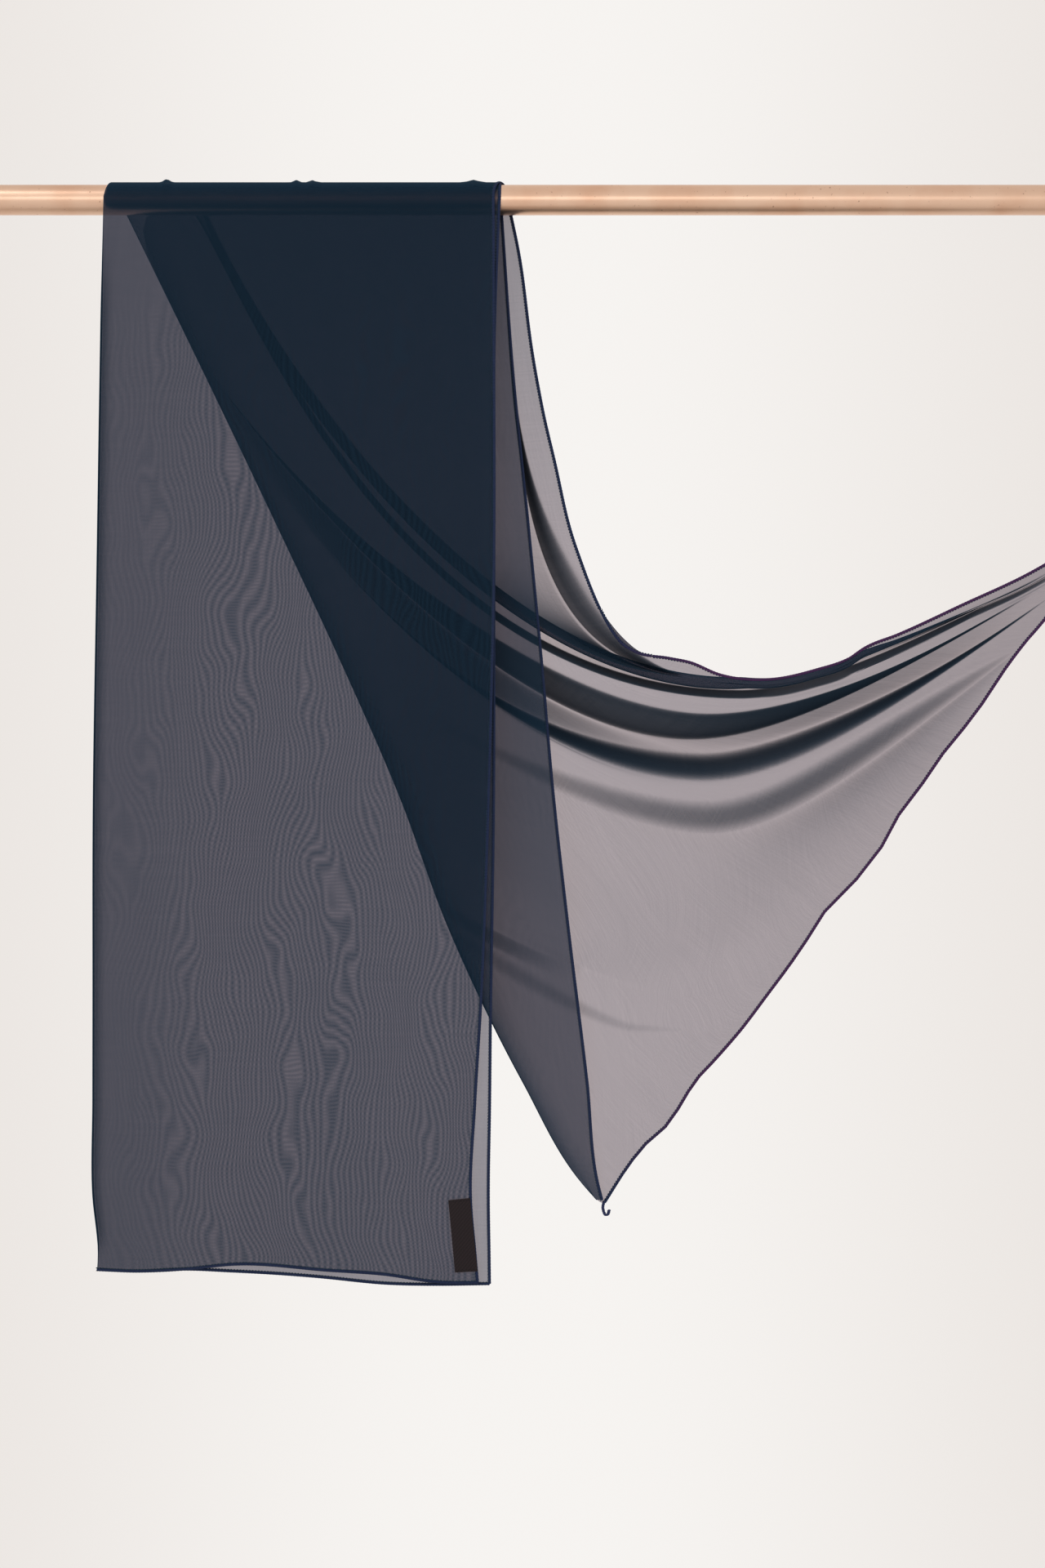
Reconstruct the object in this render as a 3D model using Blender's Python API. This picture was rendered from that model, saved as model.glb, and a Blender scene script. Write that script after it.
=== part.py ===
"""A long chiffon scarf, folded in half lengthwise and hung over a round hanging rod.

The front leg hangs straight as two plies with their fold at the left. At the back the plies part: the inner one
hangs as a flap, and the outer one is drawn out to the right by its free corner, as a swag with sunk folds.
X runs along the rod to the right, Y away from the front and Z up. The origin is on the rod's axis.
Sizes are metres, and a drop is a depth below the rod's axis.
"""
import math
from collections import namedtuple

import bmesh
import bpy
import numpy as np

# Rod
ROD_RADIUS = 0.014
ROD_LENGTH = 1.200
ROD_CHAMFER = 0.0012
ROD_SIDES = 32

# Cloth
CLOTH_WALL = 0.0010
PLY_PITCH = 0.0015
SEAM = 0.0003
HEM_WIDTH = 0.0027
HEM_WALL = 0.0012
HEM_BANDS = 3
HEM_ALLOWANCE = HEM_WIDTH + SEAM
INNER_RADIUS = ROD_RADIUS + SEAM + CLOTH_WALL / 2
OUTER_RADIUS = INNER_RADIUS + PLY_PITCH
TURN_STEPS = 4

# Front leg: where its fold and its two long hems hang, by depth below the rod
FRONT_EDGES = (
    # drop, fold_x, near_hem_x, far_hem_x
    (0.000, -0.3925, -0.0258, -0.0200),
    (0.100, -0.3945, -0.0255, -0.0240),
    (0.350, -0.3985, -0.0254, -0.0252),
    (0.580, -0.4020, -0.0308, -0.0256),
    (0.760, -0.4022, -0.0377, -0.0283),
    (0.850, -0.4023, -0.0431, -0.0292),
    (0.940, -0.4023, -0.0470, -0.0304),
    (1.023, -0.4023, -0.0400, -0.0293),
)
# How deep each ply's short hem hangs across the leg
FRONT_ENDS = (
    # x, near_drop, far_drop
    (-0.402, 1.010, 1.010),
    (-0.313, 1.008, 1.009),
    (-0.272, 1.003, 1.012),
    (-0.184, 1.008, 1.017),
    (-0.129, 1.011, 1.021),
    (-0.079, 1.019, 1.023),
    (-0.020, 1.020, 1.023),
)
FRONT_MIDDLE = -0.200
FRONT_ROWS = 13
FRONT_COLUMNS = 15
# The two plies part by this much, reached so far from the fold and so far down
PLY_SPREAD = 0.0020
SPREAD_REACH = 0.100
SPREAD_DROP = 0.600
FLUTES = (
    # x, width, swell at the hem
    (-0.330, 0.050, 0.0035),
    (-0.225, 0.060, -0.0030),
    (-0.125, 0.050, 0.0035),
)

# Stretch over the rod
TOP_ROWS = 9
TOP_COLUMNS = 9
TOP_PLEATS = (
    # x, width, height
    (-0.335, 0.0035, 0.0030),
    (-0.213, 0.0025, 0.0022),
    (-0.197, 0.0025, 0.0026),
    (-0.046, 0.0060, 0.0024),
)
PLEAT_COLUMNS = (-1.3, 0.0, 1.3)
PLEAT_CLEARANCE = 0.006

# Back flap: the slanting fold that parts it from the swag, and its long hem
BACK_EDGES = (
    # drop, fold_x, hem_x
    (0.000, -0.3810, -0.0190),
    (0.154, -0.3057, -0.0080),
    (0.307, -0.2325, 0.0073),
    (0.430, -0.1748, 0.0193),
    (0.560, -0.1180, 0.0308),
    (0.690, -0.0695, 0.0454),
    (0.834, 0.0000, 0.0630),
    (0.932, 0.0578, 0.0735),
    (0.951, 0.0745, 0.0785),
)
FLAP_TIP = 0.935
FLAP_END = 0.946
FLAP_LEAN = 0.004
FLAP_ROWS = 22
FLAP_COLUMNS = 6
FOLD_CLEARANCE = 0.0015

# Back swag: its short hem, from the drawn corner down to the hanging one
SWAG_END = (
    # drop, x
    (0.3251, 0.5267),
    (0.3649, 0.5135),
    (0.3948, 0.4993),
    (0.4104, 0.4853),
    (0.4415, 0.4614),
    (0.4727, 0.4409),
    (0.5039, 0.4173),
    (0.5350, 0.3922),
    (0.5506, 0.3827),
    (0.5662, 0.3696),
    (0.5818, 0.3593),
    (0.6129, 0.3424),
    (0.6285, 0.3302),
    (0.6441, 0.3176),
    (0.6597, 0.3014),
    (0.6752, 0.2874),
    (0.6908, 0.2780),
    (0.7220, 0.2570),
    (0.7531, 0.2336),
    (0.7843, 0.2095),
    (0.8155, 0.1825),
    (0.8310, 0.1680),
    (0.8466, 0.1575),
    (0.8622, 0.1483),
    (0.8778, 0.1368),
    (0.8934, 0.1187),
    (0.9089, 0.1059),
    (0.9245, 0.0951),
    (0.9401, 0.0854),
    (0.9510, 0.0785),
)
SWAG_END_WAVES = 5.0
SWAG_END_SWELL = 0.003
SWAG_FRONT = 0.0225
SWAG_CORNER = 0.0300
# Its long hem, from the rod to the drawn corner
LONG_HEM = (
    # x, drop
    (-0.0130, 0.0000),
    (-0.0004, 0.0652),
    (0.0073, 0.1265),
    (0.0179, 0.1878),
    (0.0319, 0.2491),
    (0.0427, 0.2980),
    (0.0567, 0.3415),
    (0.0704, 0.3764),
    (0.0949, 0.4168),
    (0.1042, 0.4230),
    (0.1400, 0.4308),
    (0.1595, 0.4347),
    (0.1876, 0.4463),
    (0.2335, 0.4510),
    (0.2803, 0.4416),
    (0.3115, 0.4307),
    (0.3271, 0.4205),
    (0.3583, 0.4080),
    (0.4208, 0.3792),
    (0.4833, 0.3500),
    (0.5267, 0.3251),
)
# A fold goes down through its rows from one level to the next. Down is 0 at its upper edge and 1 at its lower one.
FOLDS = {
    # The cloth leans back, more and more
    "step": (
        # down, back
        (0.00, 0.00),
        (0.60, 0.45),
        (1.00, 1.00),
    ),
    # The cloth leans back, steepest halfway
    "pleat": (
        # down, back
        (0.00, 0.00),
        (0.50, 0.50),
        (1.00, 1.00),
    ),
    # The cloth turns up at the lower edge and down again at the upper one
    "lap": (
        # down, back
        (1.00, 0.00),
        (1.00, 0.20),
        (0.00, 0.80),
        (0.00, 1.00),
    ),
    # A line with no fold
    "": ((1.00, 1.00),),
}
# The lines that the swag hangs in below its long hem. Each falls from the rod, or from the slanting fold where start_x
# is None, to its lowest point and rises to the short hem. Steep is the share of its fall that it makes before it bends,
# and flat the share of its width that it then runs level. Width is a fold's width, and level how far behind the swag's
# front the cloth lies below it. Both swell along the line up to the share until, and are fullest at a share of that
# stretch. The powers gathers and fades are higher where they swell and sink faster.
SWAG_TABLE = (
    # name, start_x, start_drop, low_x, low_drop, end_drop, steep, flat, fold, width, level, until, fullest, gathers, fades
    ("soft_fold", -0.0200, 0.000, 0.1860, 0.4480, 0.3275, 0.80, 0.70, "step", 0.0220, 0.042, 0.54, 0.70, 4.6, 4.6),
    ("shoulder", -0.2150, 0.000, 0.1850, 0.4530, 0.3330, 0.50, 0.50, "", 0.0000, 0.000, 1.00, 0.50, 3.0, 3.0),
    ("roll", -0.3060, 0.000, 0.1838, 0.4568, 0.3360, 0.40, 0.45, "lap", 0.0140, 0.030, 1.00, 0.62, 1.5, 4.5),
    ("ridge", -0.3180, 0.000, 0.1877, 0.4672, 0.3415, 0.40, 0.45, "pleat", 0.0095, 0.004, 1.00, 0.60, 1.4, 1.4),
    ("corner", None, 0.012, 0.1750, 0.4740, 0.3470, 0.38, 0.42, "", 0.0000, 0.004, 1.00, 0.60, 1.4, 1.4),
    ("first_fold", None, 0.135, 0.1603, 0.5045, 0.3500, 0.35, 0.40, "pleat", 0.0300, 0.060, 1.00, 0.56, 6.0, 3.6),
    ("second_fold", None, 0.196, 0.1564, 0.5480, 0.3649, 0.28, 0.40, "pleat", 0.0310, 0.003, 1.00, 0.60, 8.0, 3.3),
    ("third_fold", None, 0.420, 0.1680, 0.5950, 0.4180, 0.28, 0.32, "pleat", 0.0300, 0.035, 1.00, 0.58, 2.4, 2.4),
    ("belly", None, 0.500, 0.1500, 0.6500, 0.4900, 0.35, 0.30, "", 0.0000, 0.025, 1.00, 0.50, 2.4, 2.0),
    ("lower_belly", None, 0.580, 0.1400, 0.7050, 0.6100, 0.30, 0.30, "", 0.0000, 0.010, 1.00, 0.50, 2.4, 2.4),
    ("crease", None, 0.652, 0.1480, 0.7550, 0.7350, 0.25, 0.20, "", 0.0000, 0.014, 0.60, 0.36, 1.6, 1.6),
    ("arc", None, 0.690, 0.1060, 0.7700, 0.7700, 0.30, 0.20, "", 0.0000, 0.002, 0.90, 0.28, 1.2, 1.6),
    ("skirt", None, 0.775, 0.0850, 0.8350, 0.8250, 0.35, 0.30, "", 0.0000, 0.002, 1.00, 0.50, 2.6, 2.6),
    ("tail", None, 0.865, 0.0800, 0.9000, 0.8950, 0.35, 0.30, "", 0.0000, 0.000, 1.00, 0.50, 2.6, 2.6),
    ("tip", None, 0.935, 0.0740, 0.9440, 0.9430, 0.35, 0.30, "", 0.0000, 0.000, 1.00, 0.50, 2.6, 2.6),
)
Line = namedtuple(
    "Line",
    "name start_x start_drop low_x low_drop end_drop steep flat fold width level until fullest gathers fades",
)
SWAG_LINES = tuple(Line(*row) for row in SWAG_TABLE)
START_STEP = 0.0020
END_STEP = 0.0010
LEAN = 0.06
FOLD_SLOPE = 0.62
BELOW_STEP = 0.0008
BELOW_REACH = 0.12
RISE_FLAT = 0.27
RISE_BEND = (0.62, 0.50)
WIDTH_POWER = 1.8
# The share of a line over which it leaves the rod, and from which it bends back to the short hem
LEAVES_ROD = 0.33
BENDS_BACK = 0.50
CORNER_SHARE = 0.33
END_REACH = 12
LOW_COLUMN = 0.65
SWAG_COLUMNS = 34
ROWS_PER_SPAN = 2
LINE_STEPS = 90
CORNER_CLEARANCE = 0.008
HEM_STEP = 0.006

# Label and thread tail
LABEL_TOP_LEFT = (-0.0693, 0.9425)
LABEL_TOP_RIGHT = (-0.0490, 0.9405)
LABEL_BOTTOM_RIGHT = (-0.0420, 1.0090)
LABEL_BOTTOM_LEFT = (-0.0631, 1.0100)
LABEL_WALL = 0.0006
LABEL_ROWS = 9
LABEL_COLUMNS = 4
TAIL_RADIUS = 0.0007
TAIL_ROUTE = ((0.0822, 0.0225, -0.9448), (0.0824, 0.0227, -0.9505), (0.0838, 0.0230, -0.9565))

CLOTH_COLOR = (0.035, 0.048, 0.075, 1.0)
HEM_COLOR = (0.018, 0.022, 0.045, 1.0)
ROD_COLOR = (0.80, 0.48, 0.33, 1.0)
LABEL_COLOR = (0.022, 0.016, 0.014, 1.0)


def material(name, color, roughness, metallic=0.0):
    """One Principled finish."""
    made = bpy.data.materials.new(name)
    made.use_nodes = True
    shader = made.node_tree.nodes["Principled BSDF"]
    shader.inputs["Base Color"].default_value = color
    shader.inputs["Roughness"].default_value = roughness
    shader.inputs["Metallic"].default_value = metallic
    return made


def add_object(name, points, faces, finish):
    """A closed mesh object with its faces turned outwards."""
    mesh = bpy.data.meshes.new(name)
    mesh.from_pydata([tuple(point) for point in points], [], faces)
    shape = bmesh.new()
    shape.from_mesh(mesh)
    if shape.calc_volume(signed=True) < 0:
        bmesh.ops.reverse_faces(shape, faces=shape.faces)
    shape.to_mesh(mesh)
    shape.free()
    mesh.shade_smooth()
    mesh.materials.append(finish)
    made = bpy.data.objects.new(name, mesh)
    bpy.context.scene.collection.objects.link(made)
    return made


def unit(vectors):
    """Vectors along the last axis at length one."""
    length = np.linalg.norm(vectors, axis=-1, keepdims=True)
    return vectors / np.maximum(length, 1e-12)


def tangents(grid, axis):
    """Unit tangents along one way of a grid, each halving the angle between its two neighbouring steps."""
    steps = unit(np.diff(grid, axis=axis))
    first = np.take(steps, [0], axis=axis)
    last = np.take(steps, [-1], axis=axis)
    return unit(np.concatenate([first, steps], axis=axis) + np.concatenate([steps, last], axis=axis))


def grid_normals(grid):
    """Unit normals of a grid of surface points."""
    return unit(np.cross(tangents(grid, 0), tangents(grid, 1)))


def add_wall(name, grid, wall, finish):
    """A closed wall, half its thickness on each side of a grid of surface points."""
    rows, columns = grid.shape[:2]
    offset = grid_normals(grid) * wall / 2
    points = np.concatenate([(grid + offset).reshape(-1, 3), (grid - offset).reshape(-1, 3)])
    back = rows * columns

    def at(row, column):
        return row * columns + column

    faces = []
    for row in range(rows - 1):
        for column in range(columns - 1):
            quad = (at(row, column), at(row + 1, column), at(row + 1, column + 1), at(row, column + 1))
            faces.append(quad)
            faces.append(tuple(back + corner for corner in (quad[0], *reversed(quad[1:]))))
    rim = [at(0, column) for column in range(columns)]
    rim += [at(row, columns - 1) for row in range(1, rows)]
    rim += [at(rows - 1, column) for column in range(columns - 2, -1, -1)]
    rim += [at(row, 0) for row in range(rows - 2, 0, -1)]
    for here, following in zip(rim, rim[1:] + rim[:1]):
        faces.append((here, following, back + following, back + here))
    return add_object(name, points, faces, finish)


def through(table, column, where):
    """A smooth curve through one column of a table, read at values of its first column."""
    stations = np.array([row[0] for row in table])
    values = np.array([row[column] for row in table])
    slopes = np.gradient(values, stations)
    where = np.clip(np.asarray(where, dtype=float), stations[0], stations[-1])
    index = np.clip(np.searchsorted(stations, where, side="right") - 1, 0, len(stations) - 2)
    span = stations[index + 1] - stations[index]
    along = (where - stations[index]) / span
    return (
        values[index] * (1 + 2 * along) * (1 - along) ** 2
        + slopes[index] * span * along * (1 - along) ** 2
        + values[index + 1] * along**2 * (3 - 2 * along)
        + slopes[index + 1] * span * along**2 * (along - 1)
    )


def ease(value):
    """A smooth step from 0 to 1."""
    value = np.clip(value, 0.0, 1.0)
    return value * value * (3 - 2 * value)


def swell(rows, x):
    """The sum of a table of soft ridges with x, width and height columns."""
    return sum(height * np.exp(-(((x - middle) / width) ** 2)) for middle, width, height in rows)


def doubled_row(far_x, near_x, fold_x):
    """Places across a doubled ply, from the far hem round the fold to the near hem, as x and share of the pitch."""
    angles = np.linspace(0.0, math.pi, TURN_STEPS + 1)
    turn = PLY_PITCH / 2
    turn_x = fold_x + turn * (1 - np.sin(angles))
    turn_share = (1 - np.cos(angles)) / 2
    across = np.concatenate([far_x, turn_x, near_x])
    share = np.concatenate([np.zeros(len(far_x)), turn_share, np.ones(len(near_x))])
    return across, share


def front_point(across, share, drop):
    """Points on the front leg. Both plies follow the same soft flutes and part a little, down the leg."""
    from_fold = ease((across - FRONT_EDGES[-1][1]) / SPREAD_REACH)
    pitch = PLY_PITCH + PLY_SPREAD * from_fold * ease(drop / SPREAD_DROP)
    depth = -INNER_RADIUS - pitch * share - swell(FLUTES, across) * ease(drop)
    return np.stack([across, depth, -drop * np.ones_like(across)], axis=-1)


def front_end(x, share):
    """How deep a ply's short hem hangs at x."""
    near = through(FRONT_ENDS, 1, x)
    far = through(FRONT_ENDS, 2, x)
    return far + (near - far) * share


def front_edges(down):
    """Where the fold and the near and far hems hang, at a share of the way down the leg."""
    drop = down * float(front_end(FRONT_MIDDLE, 0.5))
    return tuple(float(through(FRONT_EDGES, column, drop)) for column in (1, 2, 3))


def front_drop(across, share, down):
    """The drop at a share of the way down the cloth, which ends above its short hem."""
    return SEAM + down * (front_end(across, share) - HEM_ALLOWANCE - SEAM)


def front_row(down, columns):
    """One row of the front leg's cloth, inside its hems."""
    fold_x, near_x, far_x = front_edges(down)
    start = fold_x + PLY_PITCH / 2
    steps = np.linspace(0.0, 1.0, columns)[1:]
    near = start + (near_x - HEM_ALLOWANCE - start) * steps
    far = start + (far_x - HEM_ALLOWANCE - start) * steps
    across, share = doubled_row(far[::-1], near, fold_x)
    return front_point(across, share, front_drop(across, share, down))


def front_leg(finish):
    """The doubled leg that hangs in front of the rod."""
    rows = [front_row(down, FRONT_COLUMNS) for down in np.linspace(0.0, 1.0, FRONT_ROWS)]
    add_wall("front_leg", np.array(rows), CLOTH_WALL, finish)


def front_hems(finish):
    """The long and the short hem of each front ply."""
    bands = np.linspace(-HEM_WIDTH, 0.0, HEM_BANDS)
    for ply, share, place in (("near", 1.0, 1), ("far", 0.0, 2)):
        grid = []
        for down in np.linspace(0.0, 1.0, FRONT_ROWS):
            across = front_edges(down)[place] + bands
            grid.append(front_point(across, share, front_drop(across, share, down)))
        across = front_edges(1.0)[place] + bands
        grid.append(front_point(across, share, front_end(across, share)))
        add_wall(f"hem_front_{ply}_long", np.array(grid), HEM_WALL, finish)
        row = front_row(1.0, FRONT_COLUMNS)
        row = row[-FRONT_COLUMNS:] if share else row[FRONT_COLUMNS - 1::-1]
        grid = []
        for x in row[:, 0]:
            drops = front_end(x, share) + bands
            grid.append(front_point(np.full(len(bands), x), share, drops))
        add_wall(f"hem_front_{ply}_short", np.array(grid), HEM_WALL, finish)


def top_edges(turn):
    """Where the fold and the near and far hems cross the rod, by the share of the half turn from front to back."""
    fold_x = FRONT_EDGES[0][1] + (BACK_EDGES[0][1] - FRONT_EDGES[0][1]) * turn
    near_x = FRONT_EDGES[0][2] + (LONG_HEM[0][0] + HEM_ALLOWANCE - FRONT_EDGES[0][2]) * ease(turn)
    far_x = FRONT_EDGES[0][3] + (BACK_EDGES[0][2] - FRONT_EDGES[0][3]) * turn
    return fold_x, near_x, far_x


def top_point(across, share, turn):
    """Points on the cloth over the rod, with small pleats raised in the outer ply."""
    angle = math.pi * turn
    radius = INNER_RADIUS + PLY_PITCH * share + swell(TOP_PLEATS, across) * share * math.sin(angle) ** 2
    return np.stack([across, -radius * math.cos(angle), radius * math.sin(angle)], axis=-1)


def over_rod(finish):
    """The doubled stretch that turns over the rod."""
    fold, near, far = (np.array(edge) for edge in top_edges(0.5))
    pleats = [x + width * step for x, width, _ in TOP_PLEATS for step in PLEAT_COLUMNS]
    plain = np.linspace(fold, near - HEM_ALLOWANCE, TOP_COLUMNS)[1:]
    clear = [x for x in plain if min(abs(x - pleat) for pleat in pleats) > PLEAT_CLEARANCE]
    near_steps = (np.array(sorted(clear + pleats)) - fold) / (near - HEM_ALLOWANCE - fold)
    far_steps = np.linspace(0.0, 1.0, TOP_COLUMNS)[1:]
    rows = []
    for turn in np.linspace(0.0, 1.0, TOP_ROWS):
        fold_x, near_x, far_x = top_edges(turn)
        start = fold_x + PLY_PITCH / 2
        near = start + (near_x - HEM_ALLOWANCE - start) * near_steps
        far = start + (far_x - HEM_ALLOWANCE - start) * far_steps
        across, share = doubled_row(far[::-1], near, fold_x)
        rows.append(top_point(across, share, turn))
    add_wall("over_rod", np.array(rows), CLOTH_WALL, finish)


def top_hems(finish):
    """The long hems where they cross the rod."""
    for ply, share, place in (("near", 1.0, 1), ("far", 0.0, 2)):
        grid = []
        for turn in np.linspace(0.0, 1.0, 2 * TOP_ROWS - 1):
            edge = top_edges(turn)[place]
            grid.append(top_point(edge + np.linspace(-HEM_WIDTH, 0.0, HEM_BANDS), share, turn))
        add_wall(f"hem_top_{ply}", np.array(grid), HEM_WALL, finish)


def flap_depth(drop):
    """How far behind the rod's axis the flap hangs."""
    return INNER_RADIUS + FLAP_LEAN * ease(np.asarray(drop) / FLAP_END)


def back_flap(finish):
    """The inner ply at the back: a long triangle that wraps round the slanting fold."""
    rows = []
    turn = PLY_PITCH / 2
    angles = np.linspace(0.0, math.pi, TURN_STEPS + 1)
    for drop in np.linspace(SEAM, FLAP_TIP, FLAP_ROWS):
        fold_x = float(through(BACK_EDGES, 1, drop))
        hem_x = float(through(BACK_EDGES, 2, drop)) - HEM_ALLOWANCE
        depth = float(flap_depth(drop))
        flat = np.linspace(max(hem_x, fold_x + 4 * turn), fold_x + turn, FLAP_COLUMNS)[:-1]
        across = np.concatenate([flat, fold_x + turn * (1 - np.sin(angles))])
        back = np.concatenate([np.full(len(flat), depth), depth + turn * (1 - np.cos(angles))])
        rows.append(np.stack([across, back, np.full(len(across), -drop)], axis=-1))
    add_wall("back_flap", np.array(rows), CLOTH_WALL, finish)


def flap_hem(finish):
    """The flap's long hem, down to the hanging corner."""
    grid = []
    for drop in (*np.linspace(SEAM, FLAP_TIP, FLAP_ROWS), FLAP_END):
        edge = float(through(BACK_EDGES, 2, drop))
        depth = float(flap_depth(drop))
        grid.append([(edge + band, depth, -drop) for band in np.linspace(-HEM_WIDTH, 0.0, HEM_BANDS)])
    add_wall("hem_flap_long", np.array(grid), HEM_WALL, finish)


def fullness(share, fullest, gathers, fades):
    """A swell along a line: 0 at both ends and 1 at its fullest."""
    rises = (share / fullest) ** fullest
    falls = ((1 - share) / (1 - fullest)) ** (1 - fullest)
    return (rises * falls) ** np.where(share < fullest, gathers, fades)


def evenly(x, drop, columns):
    """The same curve at equal steps of its length."""
    run = np.concatenate([[0.0], np.cumsum(np.hypot(np.diff(x), np.diff(drop)))])
    at = np.linspace(0.0, run[-1], columns)
    return np.interp(at, run, x), np.interp(at, run, drop)


def bezier(handles, steps):
    """Points along a cubic curve, by its four handles."""
    one, two, three, four = (np.array(handle) for handle in handles)
    at = np.linspace(0.0, 1.0, steps)[:, None]
    return (1 - at) ** 3 * one + 3 * (1 - at) ** 2 * at * two + 3 * (1 - at) * at**2 * three + at**3 * four


def hanging_line(start, low, end, lean, steep, flat, low_column, columns):
    """A front-view curve from start down to low and up to end, as x and drop, and its points' shares of its length.

    The points lie at equal steps, or where low_column is given, at equal steps on either side of the low.
    """
    across, down = low[0] - start[0], low[1] - start[1]
    leaves = (start[0] + lean, start[1] + steep * down)
    falls = bezier((start, leaves, (low[0] - flat * across, low[1]), low), LINE_STEPS)
    across, up = end[0] - low[0], low[1] - end[1]
    bend = (low[0] + RISE_BEND[0] * across, low[1] - RISE_BEND[1] * up)
    rises = bezier((low, (low[0] + RISE_FLAT * across, low[1]), bend, end), LINE_STEPS)
    x, drop = np.concatenate([falls, rises[1:]]).T
    run = np.concatenate([[0.0], np.cumsum(np.hypot(np.diff(x), np.diff(drop)))])
    low_share = run[LINE_STEPS - 1] / run[-1]
    share = np.interp(np.linspace(0.0, 1.0, columns), (0.0, low_column or low_share, 1.0), (0.0, low_share, 1.0))
    return np.interp(share * run[-1], run, x), np.interp(share * run[-1], run, drop), share


def swag_depth(share, start_y, end_drop):
    """How far behind the rod's axis a line lies, without its folds."""
    down = (end_drop - SWAG_END[0][0]) / (SWAG_END[-1][0] - SWAG_END[0][0])
    end_y = SWAG_CORNER + (SWAG_FRONT - SWAG_CORNER) * ease(down / CORNER_SHARE)
    end_y += SWAG_END_SWELL * math.sin(SWAG_END_WAVES * math.tau * down) * math.sin(math.pi * down)
    leaves = ease(share / LEAVES_ROD)
    bends = ease((share - BENDS_BACK) / (1 - BENDS_BACK))
    return start_y + (SWAG_FRONT - start_y) * leaves + (end_y - SWAG_FRONT) * bends


def long_hem_row(beside):
    """The swag's first row, inside its long hem. Its points lie nearest to those of the row beside it."""
    x = np.linspace(LONG_HEM[0][0], LONG_HEM[-1][0] - HEM_ALLOWANCE, 4 * LINE_STEPS)
    x, drop = evenly(x, through(LONG_HEM, 1, x), 20 * LINE_STEPS)
    nearest = np.argmin(np.hypot(x - beside[:, :1], drop + beside[:, 2:]), axis=1)
    nearest[[0, -1]] = 0, len(x) - 1
    share = np.linspace(0.0, 1.0, len(beside))
    y = swag_depth(share, OUTER_RADIUS, SWAG_END[0][0])
    return np.stack([x[nearest], y, -np.maximum(drop[nearest], SEAM)], axis=-1)


def swag_row(line, last_level, step, order, columns):
    """One control row of the swag: a line's own row, or one of the rows of its fold, by its step."""
    down, back = FOLDS[line.fold][step]
    if line.start_x is None:
        start_drop = line.start_drop + step * START_STEP
        start_x = float(through(BACK_EDGES, 1, start_drop)) + PLY_PITCH / 2 + FOLD_CLEARANCE
        start_y = float(flap_depth(start_drop)) + PLY_PITCH
        lean = FOLD_SLOPE * line.steep * (line.low_drop - start_drop)
        low_column = None
    else:
        start_drop = SEAM
        start_x = line.start_x - step * START_STEP
        start_y = OUTER_RADIUS
        lean = LEAN * (line.low_x - start_x)
        low_column = LOW_COLUMN
    end_drop = line.end_drop + step * END_STEP
    end = (float(through(SWAG_END, 1, end_drop)) - HEM_ALLOWANCE, end_drop)
    low = (line.low_x, line.low_drop + step * END_STEP)
    start = (start_x, start_drop)
    x, drop, share = hanging_line(start, low, end, lean, line.steep, line.flat, low_column, columns)
    # No line rises past the long hem or the line above it
    below = BELOW_STEP * order * ease(share / BELOW_REACH)
    drop = np.maximum(drop, through(LONG_HEM, 1, x) * (share > BELOW_REACH) + below)
    swells = fullness(np.minimum(share / line.until, 1.0), line.fullest, line.gathers, line.fades)
    along = unit(np.stack([np.gradient(x), np.gradient(drop)], axis=-1))
    raised = line.width * (1 - down) * swells**WIDTH_POWER
    behind = (last_level + (line.level - last_level) * back) * swells
    y = swag_depth(share, start_y, end_drop) + behind
    return np.stack([x + along[:, 1] * raised, y, along[:, 0] * raised - drop], axis=-1)


def spline_rows(control, per_span):
    """A quadratic B-spline across control rows, tangent to each leg at its middle."""
    padded = np.concatenate([control[:1], control, control[-1:]])
    middles = (padded[:-1] + padded[1:]) / 2
    rows = [control[0]]
    for index in range(1, len(padded) - 1):
        for step in range(1, per_span + 1):
            along = step / per_span
            rows.append(
                (1 - along) ** 2 * middles[index - 1]
                + 2 * along * (1 - along) * padded[index]
                + along**2 * middles[index]
            )
    return np.array(rows)


def swag_surface(columns, per_span):
    """The swag's points, from its long hem down and from the rod or slanting fold to its short hem."""
    control = []
    last_level = 0.0
    for line in SWAG_LINES:
        for step in range(len(FOLDS[line.fold])):
            control.append(swag_row(line, last_level, step, 1 + len(control), columns))
        last_level = line.level
    grid = spline_rows(np.array([long_hem_row(control[0]), *control]), per_span)
    # The spline's rows end on the short hem's line
    slips = through(SWAG_END, 1, -grid[:, -1, 2]) - HEM_ALLOWANCE - grid[:, -1, 0]
    grid[..., 0] += np.outer(slips, np.linspace(0.0, 1.0, columns) ** END_REACH)
    return grid


def edge_strip(edge, inner):
    """A hem's grid: bands laid outwards from a wall's edge, in the wall's own surface."""
    along = unit(np.gradient(edge, axis=0))
    normal = unit(np.cross(along, edge - inner))
    outward = unit(np.cross(normal, along))
    outward *= np.sign(np.sum(outward * (edge - inner), axis=1, keepdims=True))
    return np.stack([edge + outward * band for band in np.linspace(SEAM, HEM_ALLOWANCE, HEM_BANDS)], axis=1)


def spaced(points, step):
    """The indices of points that lie at least a step apart."""
    kept = [0]
    for index in range(1, len(points)):
        if np.linalg.norm(points[index] - points[kept[-1]]) >= step:
            kept.append(index)
    return kept


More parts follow.
